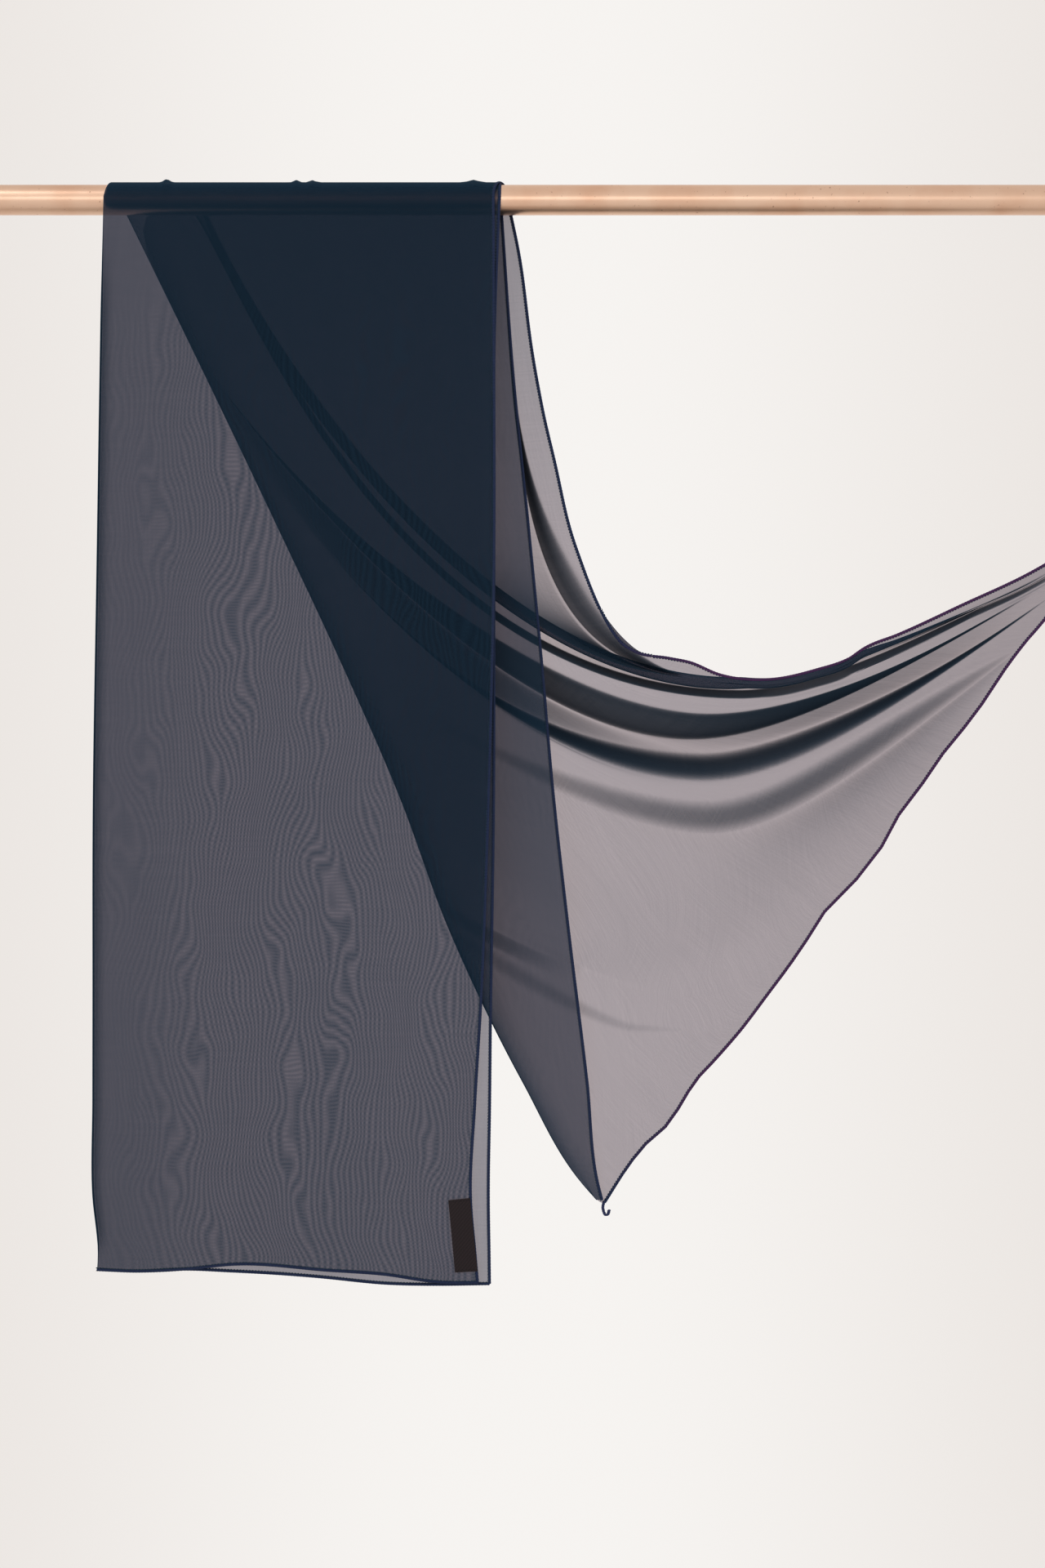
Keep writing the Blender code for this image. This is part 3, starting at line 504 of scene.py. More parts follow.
def silk_chiffon(settings):
    """Plain-woven navy chiffon of hard-twisted yarn.

    One ply is a smoky grey veil and each further ply darkens it, so four look solid navy. It closes up where it
    turns edge-on, which draws every fold. Two plies face to face beat against each other in a wood-grain moire.
    """
    made, tree, uv = new_material("navy silk chiffon, plain weave", "cloth")
    # Crepe grain: the yarns' twist pebbles the weave. It is drawn about four times as coarse as it is.
    grain = put(
        tree, "ShaderNodeTexNoise", {"Vector": uv, "Scale": 1 / settings.crepe, "Detail": 2.0, "Roughness": 0.6}
    )
    # Slubs: thick and thin yarns along the warp and the weft
    warp = stretched_noise(tree, uv, (1 / 0.0016, 1 / 0.09, 1.0), 1.0)
    weft = stretched_noise(tree, uv, (1 / 0.07, 1 / 0.0018, 1.0), 1.0)
    slubs = put(tree, "ShaderNodeMath", warp, weft, operation="ADD")
    texture = put(tree, "ShaderNodeMath", grain, slubs, operation="ADD")
    passes = put(tree, "ShaderNodeMapRange", texture, 1.1, 1.9, 0.95, 1.05)
    # Moire: contour lines of how far the two plies have slipped past each other, broken by the weft's own beat
    across = put(tree, "ShaderNodeSeparateXYZ", uv)
    slip = stretched_noise(tree, uv, (8.5, 4.2, 1.0), 2.5, 0.55)
    ripple = beat_lines(tree, across.outputs[0], settings.beat, slip, 25.0)
    weft_slip = stretched_noise(tree, uv, (8.0, 11.0, 1.0), 2.0, start=(3.1, 1.7, 0.0))
    rung = beat_lines(tree, across.outputs[1], settings.weft_beat, weft_slip, 12.0)
    broken = put(tree, "ShaderNodeMath", rung, 0.42, 0.58, operation="MULTIPLY_ADD")
    moire = put(tree, "ShaderNodeMath", ripple, broken, operation="MULTIPLY")
    strength = put(tree, "ShaderNodeAttribute", attribute_name="beat").outputs["Fac"]
    beating = put(tree, "ShaderNodeMath", moire, strength, 1.0, operation="MULTIPLY_ADD")
    # A ply passes light by the power of how much yarn the light crosses, and its gaps close as it turns edge-on
    weave = put(tree, "ShaderNodeAttribute", attribute_name="open").outputs["Fac"]
    for share in (settings.passes, beating, weave):
        passes = put(tree, "ShaderNodeMath", passes, share, operation="MULTIPLY")
    facing = put(tree, "ShaderNodeLayerWeight", 0.5).outputs["Facing"]
    square = put(tree, "ShaderNodeMath", 1.0, facing, operation="SUBTRACT")
    for value, operation in ((0.12, "MAXIMUM"), (-1.5, "POWER")):
        square = put(tree, "ShaderNodeMath", square, value, operation=operation)
    through = put(tree, "ShaderNodeMath", passes, square, operation="POWER")
    paints = {"Factor": texture, "A": settings.thread, "B": shaded(settings.thread, 1.35)}
    dyed = put(tree, "ShaderNodeMix", paints, data_type="RGBA")
    drawn = put(tree, "ShaderNodeMapRange", weave, HUNG_OPEN, 1.0)
    paints = {"Factor": drawn, "A": settings.hung_tint, "B": settings.drawn_tint}
    veil = put(tree, "ShaderNodeBsdfTransparent", put(tree, "ShaderNodeMix", paints, data_type="RGBA"))
    sheen = {"IOR": 1.5, "Specular IOR Level": 0.12, "Sheen Weight": 0.04, "Sheen Roughness": 0.4}
    return surfaced(made, dyed, 0.78, texture, 0.25, 0.0002, sheen, (through, veil))


def violet_side(tree, place, tone, violet):
    """A colour that turns violet towards the drawn corner."""
    side = put(tree, "ShaderNodeSeparateXYZ", place)
    share = put(tree, "ShaderNodeMapRange", side, 0.08, 0.17, 0.0, 0.85)
    return put(tree, "ShaderNodeMix", {"Factor": share, "A": tone, "B": violet}, data_type="RGBA")


def rolled_chiffon(settings):
    """Chiffon rolled into its hem, four thick: solid navy, ribbed across by the stitches that pinch it."""
    made, tree, place = new_material("navy chiffon, rolled and pinched")
    grain = put(tree, "ShaderNodeTexNoise", {"Vector": place, "Scale": 1 / 0.0012, "Detail": 2.0})
    paints = {"Factor": grain, "A": settings.roll, "B": shaded(settings.roll, 0.45)}
    cast = violet_side(tree, place, put(tree, "ShaderNodeMix", paints, data_type="RGBA"), settings.violet)
    sheen = {"Specular IOR Level": 0.25, "Sheen Weight": 0.1}
    return surfaced(made, cast, 0.8, grain, 0.4, 0.0002, sheen)


def spun_thread(name, thread_color, violet=None):
    """Spun polyester sewing thread: a soft sheen, and two twisted plies, drawn at twice their real pitch."""
    made, tree, place = new_material(name)
    wave = {"Vector": place, "Scale": 1 / 0.0022, "Distortion": 2.0}
    twist = put(tree, "ShaderNodeTexWave", wave, bands_direction="DIAGONAL").outputs["Fac"]
    paints = {"Factor": twist, "A": thread_color, "B": shaded(thread_color, 0.6)}
    cast = violet_side(tree, place, put(tree, "ShaderNodeMix", paints, data_type="RGBA"), violet or thread_color)
    sheen = {"Sheen Weight": 0.2, "Sheen Roughness": 0.3}
    return surfaced(made, cast, 0.55, twist, 0.5, 0.0001, sheen)


def copper_plate(settings):
    """Steel tube, copper plated and satin brushed: a broad soft highlight and fine lengthwise lines."""
    made, tree, place = new_material("satin copper plate")
    # Brush lines about a millimetre apart and some 70 mm long, and dull clouds some 45 mm across
    lines = stretched_noise(tree, place, (14.0, 900.0, 900.0), 3.0)
    clouds = put(tree, "ShaderNodeTexNoise", {"Vector": place, "Scale": 22.0, "Detail": 3.0})
    worn = put(tree, "ShaderNodeMapRange", clouds, 0.45, 0.75, 0.0, 0.55)
    tone = put(tree, "ShaderNodeMix", {"Factor": worn, "A": settings.plate, "B": settings.dark}, data_type="RGBA")
    # Small dark specks, some 3 mm apart, where the plating is pitted
    spots = put(tree, "ShaderNodeTexNoise", {"Vector": place, "Scale": 320.0, "Detail": 2.0})
    specks = put(tree, "ShaderNodeMapRange", spots, 0.70, 0.76, 0.0, 0.5)
    pitted = put(tree, "ShaderNodeMix", {"Factor": specks, "A": tone, "B": settings.pit}, data_type="RGBA")
    gloss = put(tree, "ShaderNodeMapRange", lines, 0.0, 1.0, 0.26, 0.40)
    return surfaced(made, pitted, gloss, lines, 0.12, 0.0001, {"Metallic": 1.0})


def satin_ribbon(settings):
    """Woven satin label ribbon, black-brown: fine slanting twill lines and a soft lengthwise sheen."""
    made, tree, uv = new_material("black-brown satin ribbon", "cloth")
    # Twill lines lie 0.5 mm apart on the real ribbon, and are drawn 0.9 mm apart here
    wave = {"Vector": uv, "Scale": 1 / (0.0009 * 6.28), "Distortion": 0.6}
    twill = put(tree, "ShaderNodeTexWave", wave, bands_direction="DIAGONAL").outputs["Fac"]
    fuzz = put(tree, "ShaderNodeTexNoise", {"Vector": uv, "Scale": 1200.0, "Detail": 2.0})
    height = put(tree, "ShaderNodeMath", twill, fuzz, operation="ADD")
    paints = {"Factor": twill, "A": settings.ribbon, "B": shaded(settings.ribbon, 0.65)}
    tone = put(tree, "ShaderNodeMix", paints, data_type="RGBA")
    sheen = {"Sheen Weight": 0.25, "Sheen Roughness": 0.35}
    return surfaced(made, tone, 0.45, height, 0.35, 0.0002, sheen)


def matt_paint(name, paint):
    """Matt emulsion, with the faint mottle of a roller."""
    made, tree, place = new_material(name)
    mottle = put(tree, "ShaderNodeTexNoise", {"Vector": place, "Scale": 60.0, "Detail": 3.0})
    return surfaced(made, paint, 0.9, mottle, 0.1, 0.001)


# ---------------------------------------------------------------- curves and surfaces


def unit(vectors):
    """Vectors along the last axis at length one."""
    return vectors / np.maximum(np.linalg.norm(vectors, axis=-1, keepdims=True), 1e-12)


def through_table(table, column, where):
    """A smooth curve through one column of a table, read at values of its first column."""
    stations = np.array([row[0] for row in table])
    values = np.array([row[column] for row in table])
    slopes = np.gradient(values, stations)
    where = np.clip(np.asarray(where, dtype=float), stations[0], stations[-1])
    index = np.clip(np.searchsorted(stations, where, side="right") - 1, 0, len(stations) - 2)
    low, high = values[index], values[index + 1]
    span = stations[index + 1] - stations[index]
    along = (where - stations[index]) / span
    bend = span * along * (1 - along)
    return (
        low + (high - low) * along**2 * (3 - 2 * along)
        + bend * (slopes[index] * (1 - along) - slopes[index + 1] * along)
    )


def shares(count):
    """Equal steps from 0 to 1."""
    return np.linspace(0.0, 1.0, count)


def ease(value):
    """A smooth step from 0 to 1."""
    value = np.clip(value, 0.0, 1.0)
    return value * value * (3 - 2 * value)


def swell(rows, x):
    """The sum of a table of soft ridges with x, width and height columns."""
    return sum(height * np.exp(-(((x - middle) / width) ** 2)) for middle, width, height in rows)


def doubled_row(fold_x, near_x, far_x, columns):
    """Places across a doubled ply, from the far hem round the fold to the near hem, as x and share of the pitch."""
    start = fold_x + TURN_X[0]
    near, far = (start + (x - INTO_HEM - start) * shares(columns)[1:] ** CLOSER_COLUMNS for x in (near_x, far_x))
    across = np.concatenate([far[::-1], fold_x + TURN_X, near])
    return across, np.concatenate([np.zeros(len(far)), TURN_SHARES, np.ones(len(near))])


def fold_loop(beside, above, below):
    """How far a ply stands off beside a soft fold, by its distance from the fold and from the fold's two ends."""
    near = np.clip(1 - beside / LOOP_REACH, 0.0, 1.0)
    return LOOP_STANDS * near**2 * ease(above / LOOP_OPENS) * ease(below / LOOP_CLOSES)


def front_point(across, share, drop):
    """Points on the front leg. Both plies follow the same soft flutes and part a little, down the leg."""
    from_fold = ease((across - FRONT_EDGES[-1][1]) / SPREAD_REACH)
    pitch = PLY_PITCH + PLY_SPREAD * from_fold * ease(drop / SPREAD_DROP)
    loop = fold_loop(across - through_table(FRONT_EDGES, 1, drop), drop, front_end(across, share) - drop)
    depth = -INNER_RADIUS - pitch * share - swell(FLUTES, across) * ease(drop) - loop * (2 * share - 1)
    return np.stack([across, depth, -drop * np.ones_like(across)], axis=-1)


def front_end(x, share):
    """How deep a ply's short hem hangs at x."""
    near = through_table(FRONT_ENDS, 1, x)
    far = through_table(FRONT_ENDS, 2, x)
    return far + (near - far) * share


def top_edges(turn):
    """Where the fold and the near and far hems cross the rod, by the share of the half turn from front to back."""
    fold_x = FRONT_EDGES[0][1] + (BACK_EDGES[0][1] - FRONT_EDGES[0][1]) * turn
    near_x = FRONT_EDGES[0][2] + (LONG_HEM[0][0] + INTO_HEM - FRONT_EDGES[0][2]) * ease(turn)
    far_x = FRONT_EDGES[0][3] + (BACK_EDGES[0][2] - FRONT_EDGES[0][3]) * turn
    return fold_x, near_x, far_x


def top_point(across, share, turn):
    """Points on the cloth over the rod, with small pleats raised in the outer ply."""
    angle = math.pi * turn
    radius = INNER_RADIUS + PLY_PITCH * share + swell(TOP_PLEATS, across) * share * np.sin(angle) ** 2
    return np.stack([across, -radius * np.cos(angle), radius * np.sin(angle)], axis=-1)


def flap_depth(drop):
    """How far behind the rod's axis the flap hangs."""
    return INNER_RADIUS + FLAP_LEAN * ease(np.asarray(drop) / FLAP_END)


def fullness(share, fullest, gathers, fades):
    """A swell along a line: 0 at both ends and 1 at its fullest."""
    rises = (share / fullest) ** fullest
    falls = ((1 - share) / (1 - fullest)) ** (1 - fullest)
    return (rises * falls) ** np.where(share < fullest, gathers, fades)


def evenly(x, drop, columns):
    """The same curve at equal steps of its length."""
    run = np.concatenate([[0.0], np.cumsum(np.hypot(np.diff(x), np.diff(drop)))])
    at = np.linspace(0.0, run[-1], columns)
    return np.interp(at, run, x), np.interp(at, run, drop)


def bezier(handles, steps):
    """Points along a cubic curve, by its four handles."""
    one, two, three, four = (np.array(handle) for handle in handles)
    at = shares(steps)[:, None]
    return (1 - at) ** 3 * one + 3 * (1 - at) ** 2 * at * two + 3 * (1 - at) * at**2 * three + at**3 * four


def hanging_line(start, low, end, lean, steep, flat, columns):
    """A front-view curve from start down to low and up to end, at equal steps of its length, as x and drop."""
    across, down = low[0] - start[0], low[1] - start[1]
    leaves = (start[0] + lean, start[1] + steep * down)
    falls = bezier((start, leaves, (low[0] - flat * across, low[1]), low), LINE_STEPS)
    across, up = end[0] - low[0], low[1] - end[1]
    bend = (low[0] + RISE_BEND[0] * across, low[1] - RISE_BEND[1] * up)
    rises = bezier((low, (low[0] + RISE_FLAT * across, low[1]), bend, end), LINE_STEPS)
    curve = np.concatenate([falls, rises[1:]])
    return evenly(curve[:, 0], curve[:, 1], columns)


def swag_depth(share, start_y, end_drop):
    """How far behind the rod's axis a line lies, without its folds."""
    down = (end_drop - SWAG_END[0][0]) / (SWAG_END[-1][0] - SWAG_END[0][0])
    end_y = SWAG_CORNER + (SWAG_FRONT - SWAG_CORNER) * ease(down / CORNER_SHARE)
    end_y += SWAG_END_SWELL * math.sin(SWAG_END_WAVES * math.tau * down) * math.sin(math.pi * down)
    leaves = ease(share / LEAVES_ROD)
    bends = ease((share - BENDS_BACK) / (1 - BENDS_BACK))
    return start_y + (SWAG_FRONT - start_y) * leaves + (end_y - SWAG_FRONT) * bends


def long_hem_row(columns):
    """The swag's first row, along its long hem."""
    x = np.linspace(LONG_HEM[0][0], LONG_HEM[-1][0] - INTO_HEM, 4 * LINE_STEPS)
    x, drop = evenly(x, through_table(LONG_HEM, 1, x), columns)
    return np.stack([x, swag_depth(shares(columns), OUTER_RADIUS, SWAG_END[0][0]), -drop], axis=-1)


def swag_row(line, last_level, step, order, columns):
    """One control row of the swag: a line's own row, or one of the rows of its fold, by its step."""
    down, back = FOLDS[line.fold][step]
    if line.start_x is None:
        start_drop = line.start_drop + step * START_STEP
        start_x = through_table(BACK_EDGES, 1, start_drop) + TURN_X[0]
        start_y = flap_depth(start_drop) + PLY_PITCH
        lean = FOLD_SLOPE * line.steep * (line.low_drop - start_drop)
    else:
        start_drop = 0.0
        start_x = line.start_x - step * START_STEP
        start_y = OUTER_RADIUS
        lean = LEAN * (line.low_x - start_x)
    end_drop = line.end_drop + step * END_STEP
    end = (through_table(SWAG_END, 1, end_drop) - INTO_HEM, end_drop)
    low = (line.low_x, line.low_drop + step * END_STEP)
    x, drop = hanging_line((start_x, start_drop), low, end, lean, line.steep, line.flat, columns)
    share = shares(columns)
    # No line rises past the long hem, and each line keeps a step further below it than the line before
    below = BELOW_STEP * order * ease(share / BELOW_REACH)
    drop = np.maximum(drop, through_table(LONG_HEM, 1, x) * (share > BELOW_REACH) + below)
    swells = fullness(np.minimum(share / line.until, 1.0), line.fullest, line.gathers, line.fades)
    along = unit(np.stack([np.gradient(x), np.gradient(drop)], axis=-1))
    raised = line.width * (1 - down) * swells ** WIDTH_POWERS[line.fold]
    behind = (last_level + (line.level - last_level) * back) * swells
    y = swag_depth(share, start_y, end_drop) + behind
    return np.stack([x + along[:, 1] * raised, y, along[:, 0] * raised - drop], axis=-1)


def spline_rows(control, per_span):
    """A quadratic B-spline across control rows, tangent to each leg at its middle."""
    padded = np.concatenate([control[:1], control, control[-1:]])
    middles = (padded[:-1] + padded[1:]) / 2
    at = shares(per_span + 1)[1:, None, None]
    spans = zip(middles, control, middles[1:])
    curves = [(1 - at) ** 2 * one + 2 * at * (1 - at) * two + at**2 * three for one, two, three in spans]
    return np.concatenate([control[:1], *curves])


def swag_surface(columns, per_span):
    """The swag's points, from its long hem down and from the rod or slanting fold to its short hem."""
    control = [long_hem_row(columns)]
    last_level = 0.0
    for line in SWAG_LINES:
        for step in range(len(FOLDS[line.fold])):
            control.append(swag_row(line, last_level, step, len(control), columns))
        last_level = line.level
    grid = spline_rows(np.array(control), per_span)
    # The spline's rows end on the short hem's line
    slips = through_table(SWAG_END, 1, -grid[:, -1, 2]) - INTO_HEM - grid[:, -1, 0]
    grid[..., 0] += np.outer(slips, shares(columns) ** END_REACH)
    # and below the rod they start on the slanting fold's line
    starts = -grid[:, 0, 2]
    slips = through_table(BACK_EDGES, 1, starts) + TURN_X[0] - grid[:, 0, 0]
    slips *= ease((starts - START_BELOW) / START_REACH)
    grid[..., 0] += np.outer(slips, shares(columns)[::-1] ** END_REACH)
    return grid


def front_surface(rows, columns):
    """The doubled front leg, from the rod down, and how strongly its near ply beats against the far one."""
    grid = []
    beat = []
    for down in shares(rows):
        drop = down * front_end(MIDDLE_X, 0.5)
        across, share = doubled_row(*(through_table(FRONT_EDGES, place, drop) for place in (1, 2, 3)), columns)
        drops = down * (front_end(across, share) - INTO_HEM)
        grid.append(front_point(across, share, drops))
        from_fold = ease((across - through_table(FRONT_EDGES, 1, drop) - BEAT_FROM_FOLD) / BEAT_REACH)
        near_only = share * (BEAT_BY_FOLD + (1 - BEAT_BY_FOLD) * from_fold)
        beat.append(BEAT * near_only * ease((drops - BEAT_FROM_ROD) / BEAT_DROP))
    return np.array(grid), np.array(beat)


def top_surface(rows, columns):
    """The doubled stretch over the rod."""
    return np.array([top_point(*doubled_row(*top_edges(turn), columns), turn) for turn in shares(rows)])


def flap_surface(rows, columns):
    """The inner ply at the back, from its long hem to the slanting fold and round it."""
    grid = []
    for drop in FLAP_END * shares(rows):
        fold_x, hem_x = (through_table(BACK_EDGES, place, drop) for place in (1, 2))
        wide = max(hem_x - INTO_HEM - fold_x - TURN_X[0], TURN_X[0])
        flat = fold_x + TURN_X[0] + wide * shares(columns)[:0:-1] ** CLOSER_COLUMNS
        across = np.concatenate([flat, fold_x + TURN_X])
        share = np.concatenate([np.zeros(len(flat)), TURN_SHARES])
        loop = fold_loop(across - fold_x, drop, FLAP_END - drop)
        depth = flap_depth(drop) + PLY_PITCH * share - loop * (1 - share)
        grid.append(np.stack([across, depth, np.full(len(across), -drop)], axis=-1))
    return np.array(grid)


# ---------------------------------------------------------------- sewing


def hem_path(edge, inner):
    """A hem's middle line along the cloth's edge, and the cloth's normal there, from a line just inside it."""
    along = unit(np.gradient(edge, axis=0))
    normal = unit(np.cross(along, edge - inner))
    outward = unit(np.cross(normal, along))
    outward *= np.sign(np.sum(outward * (edge - inner), axis=1, keepdims=True))
    return edge, unit(np.cross(along, outward))


def path_object(paths):
    """An object of loose lines that carry the cloth's normal, for the sewing trees."""
    edges = []
    first = 0
    for edge, _ in paths:
        edges += [(first + step, first + step + 1) for step in range(len(edge) - 1)]
        first += len(edge)
    mesh = fill_mesh("path", np.concatenate([edge for edge, _ in paths]), edges, [])
    normals = np.concatenate([normal for _, normal in paths])
    mesh.attributes.new("face_normal", "FLOAT_VECTOR", "POINT").data.foreach_set("vector", normals.ravel())
    return link_object("path", mesh)


def new_tree(name, sizes, materials):
    """A Geometry Nodes tree with named inputs for sizes and materials, and its group input's outputs by name."""
    tree = bpy.data.node_groups.new(name, "GeometryNodeTree")
    tree.interface.new_socket("Geometry", in_out="INPUT", socket_type="NodeSocketGeometry")
    tree.interface.new_socket("Geometry", in_out="OUTPUT", socket_type="NodeSocketGeometry")
    for label, value in sizes.items():
        tree.interface.new_socket(label, in_out="INPUT", socket_type="NodeSocketFloat").default_value = value
    for label in materials:
        tree.interface.new_socket(label, in_out="INPUT", socket_type="NodeSocketMaterial")
    return tree, tree.nodes.new("NodeGroupInput").outputs


def baked(paths, tree, finishes, name):
    """What a Geometry Nodes tree sews along paths, as a plain mesh object."""
    source = path_object(paths)
    modifier = source.modifiers.new("sewing", "NODES")
    modifier.node_group = tree
    for item in tree.interface.items_tree:
        if item.in_out == "INPUT" and item.name in finishes:
            modifier[item.identifier] = finishes[item.name]
    bpy.context.view_layer.update()
    evaluated = source.evaluated_get(bpy.context.evaluated_depsgraph_get())
    mesh = bpy.data.meshes.new_from_object(evaluated)
    mesh.name = name
    source.modifiers.remove(modifier)
    bpy.data.objects.remove(source, do_unlink=True)
    return link_object(name, mesh)


def path_steps(tree, given, step):
    """Equal steps along a path, and the cloth's normal at each."""
    curve = put(tree, "GeometryNodeMeshToCurve", given["Geometry"])
    steps = put(tree, "GeometryNodeResampleCurve", {"Curve": curve, "Length": step}, mode="LENGTH")
    return steps, put(tree, "GeometryNodeInputNamedAttribute", "face_normal", data_type="FLOAT_VECTOR")


def roll_tree(settings):
    """Sweeps a flat oval along a path, pinched at each stitch."""
    sizes = {"Width": settings.width, "Thickness": settings.thickness, "Pitch": settings.pitch, "Pinch": 0.10}
    tree, given = new_tree("rolled hem", sizes, ["Finish"])
    step = put(tree, "ShaderNodeMath", given["Pitch"], 3.0, operation="DIVIDE")
    steps, normal = path_steps(tree, given, step)
    turned = put(tree, "GeometryNodeSetCurveNormal", {"Curve": steps, "Normal": normal}, mode="FREE")
    run = put(tree, "GeometryNodeSplineParameter").outputs["Length"]
    turns = put(tree, "ShaderNodeMath", run, given["Pitch"], operation="DIVIDE")
    angle = put(tree, "ShaderNodeMath", turns, math.tau, operation="MULTIPLY")
    wave = put(tree, "ShaderNodeMath", angle, operation="COSINE")
    pinch = put(tree, "ShaderNodeMath", wave, given["Pinch"], 1.0, operation="MULTIPLY_ADD")
    ring = put(tree, "GeometryNodeCurvePrimitiveCircle", {"Resolution": 10, "Radius": 0.5})
    oval = put(tree, "ShaderNodeCombineXYZ", given["Thickness"], given["Width"], 1.0)
    section = put(tree, "GeometryNodeTransform", {"Geometry": ring, "Scale": oval})
    swept = put(tree, "GeometryNodeCurveToMesh", turned, section, pinch, True)
    real = put(tree, "GeometryNodeRealizeInstances", put(tree, "GeometryNodeSetShadeSmooth", swept))
    finished = put(tree, "GeometryNodeSetMaterial", {"Geometry": real, "Material": given["Finish"]})
    put(tree, "NodeGroupOutput", finished)
    return tree


def stitch_places(tree, given):
    """Places one stitch apart along a path, turned so that X runs along it and Z stands on the cloth."""
    places, normal = path_steps(tree, given, given["Pitch"])
    axes = {"Primary Axis": normal, "Secondary Axis": put(tree, "GeometryNodeInputTangent")}
    return places, put(tree, "FunctionNodeAxesToRotation", axes, primary_axis="Z", secondary_axis="X")


def straight_stitch(tree, given, stoutness):
    """A stitch of thread along X, with a gap before the next one."""
    ends = {}
    for key, share in (("Start", -0.31), ("End", 0.31)):
        reach = put(tree, "ShaderNodeMath", given["Pitch"], share, operation="MULTIPLY")
        ends[key] = put(tree, "ShaderNodeCombineXYZ", reach)
    stout = put(tree, "ShaderNodeMath", given["Thread"], stoutness, operation="MULTIPLY")
    thread = put(tree, "GeometryNodeCurvePrimitiveCircle", {"Resolution": 4, "Radius": stout})
    line = put(tree, "GeometryNodeCurvePrimitiveLine", ends)
    return put(tree, "GeometryNodeCurveToMesh", {"Curve": line, "Profile Curve": thread, "Fill Caps": True})


def lay(tree, places, turned, stitch, finish):
    """A stitch laid at each place, in its material."""
    row = put(tree, "GeometryNodeInstanceOnPoints", {"Points": places, "Instance": stitch, "Rotation": turned})
    real = put(tree, "GeometryNodeRealizeInstances", row)
    return put(tree, "GeometryNodeSetMaterial", {"Geometry": real, "Material": finish})


def lockstitch_tree(settings):
    """Lays a straight stitch at each place along a path."""
    tree, given = new_tree("lockstitches", {"Pitch": settings.pitch, "Thread": settings.thread_radius}, ["Finish"])
    row = lay(tree, *stitch_places(tree, given), straight_stitch(tree, given, 1.0), given["Finish"])
    put(tree, "NodeGroupOutput", row)
    return tree


def overlock_tree(settings):
    """Winds looper thread round a hem at each stitch, and lays a needle stitch on both faces just inside it."""
    sizes = {
        "Width": settings.width, "Thickness": settings.thickness, "Pitch": settings.pitch,
        "Thread": settings.thread_radius, "Slant": 0.55, "Inset": 0.0016,
    }
    tree, given = new_tree("overlock stitches", sizes, ["Looper", "Needle"])
    places, turned = stitch_places(tree, given)
    # The looper thread: a slanted oval ring round the hem
    loop = put(tree, "GeometryNodeCurvePrimitiveCircle", {"Resolution": 8, "Radius": 0.54})
    oval = put(tree, "ShaderNodeCombineXYZ", 1.0, given["Width"], given["Thickness"])
    lean = put(tree, "ShaderNodeCombineXYZ", {2: given["Slant"]})
    for key, value in (("Rotation", (0.0, math.pi / 2, 0.0)), ("Scale", oval), ("Rotation", lean)):
        loop = put(tree, "GeometryNodeTransform", {"Geometry": loop, key: value})
    thread = put(tree, "GeometryNodeCurvePrimitiveCircle", {"Resolution": 3, "Radius": given["Thread"]})
    looper = lay(tree, places, turned, put(tree, "GeometryNodeCurveToMesh", loop, thread), given["Looper"])
    # The needle thread: a short straight stitch on each face, inside the roll
    bar = straight_stitch(tree, given, 1.5)
    inset = put(tree, "ShaderNodeMath", given["Inset"], -1.0, operation="MULTIPLY")
    pair = []
    for side in (1.0, -1.0):
        height = put(tree, "ShaderNodeMath", given["Thread"], side * 1.6, operation="MULTIPLY")
        beside = put(tree, "ShaderNodeCombineXYZ", 0.0, inset, height)
        pair.append(put(tree, "GeometryNodeTransform", {"Geometry": bar, "Translation": beside}))
    needle = lay(tree, places, turned, put(tree, "GeometryNodeJoinGeometry", pair), given["Needle"])
    put(tree, "NodeGroupOutput", put(tree, "GeometryNodeJoinGeometry", [looper, needle]))
    return tree


def hem_paths():
    """Every hem's path, by the solid that it stands for."""
    paths = {}
    down = shares(HEM_STEPS)
    turn = shares(TOP_ROWS)
    for ply, share, place in (("near", 1.0, 1), ("far", 0.0, 2)):
        drop = down * front_end(OPEN_SIDE_X, share)
        x = through_table(FRONT_EDGES, place + 1, drop) - INTO_HEM
        drop = np.minimum(drop, front_end(x, share) - INTO_HEM)
        edge = front_point(x, share, drop)
        paths[f"hem_front_{ply}_long"] = hem_path(edge, front_point(x - INSIDE, share, drop))
        start = FRONT_EDGES[-1][1] + TURN_X[0]
        x = start + (x[-1] - start) * down**CLOSER_COLUMNS
        drop = front_end(x, share) - INTO_HEM
        edge = front_point(x, share, drop)
        paths[f"hem_front_{ply}_short"] = hem_path(edge, front_point(x, share, drop - INSIDE))
        x = top_edges(turn)[place] - INTO_HEM
        paths[f"hem_top_{ply}"] = hem_path(top_point(x, share, turn), top_point(x - INSIDE, share, turn))
    drop = down * FLAP_END
    x = through_table(BACK_EDGES, 2, drop) - INTO_HEM
    edge = np.stack([x, flap_depth(drop), -drop], axis=-1)
    paths["hem_flap_long"] = hem_path(edge, edge - (INSIDE, 0.0, 0.0))
    settings = bpy.context.scene.scarf.cloth
    swag = swag_surface(settings.columns, settings.rows_per_span)
    paths["hem_swag_long"] = hem_path(swag[0], swag[1])
    paths["hem_swag_short"] = hem_path(swag[:, -1], swag[:, -3])
    return paths


# ---------------------------------------------------------------- operators


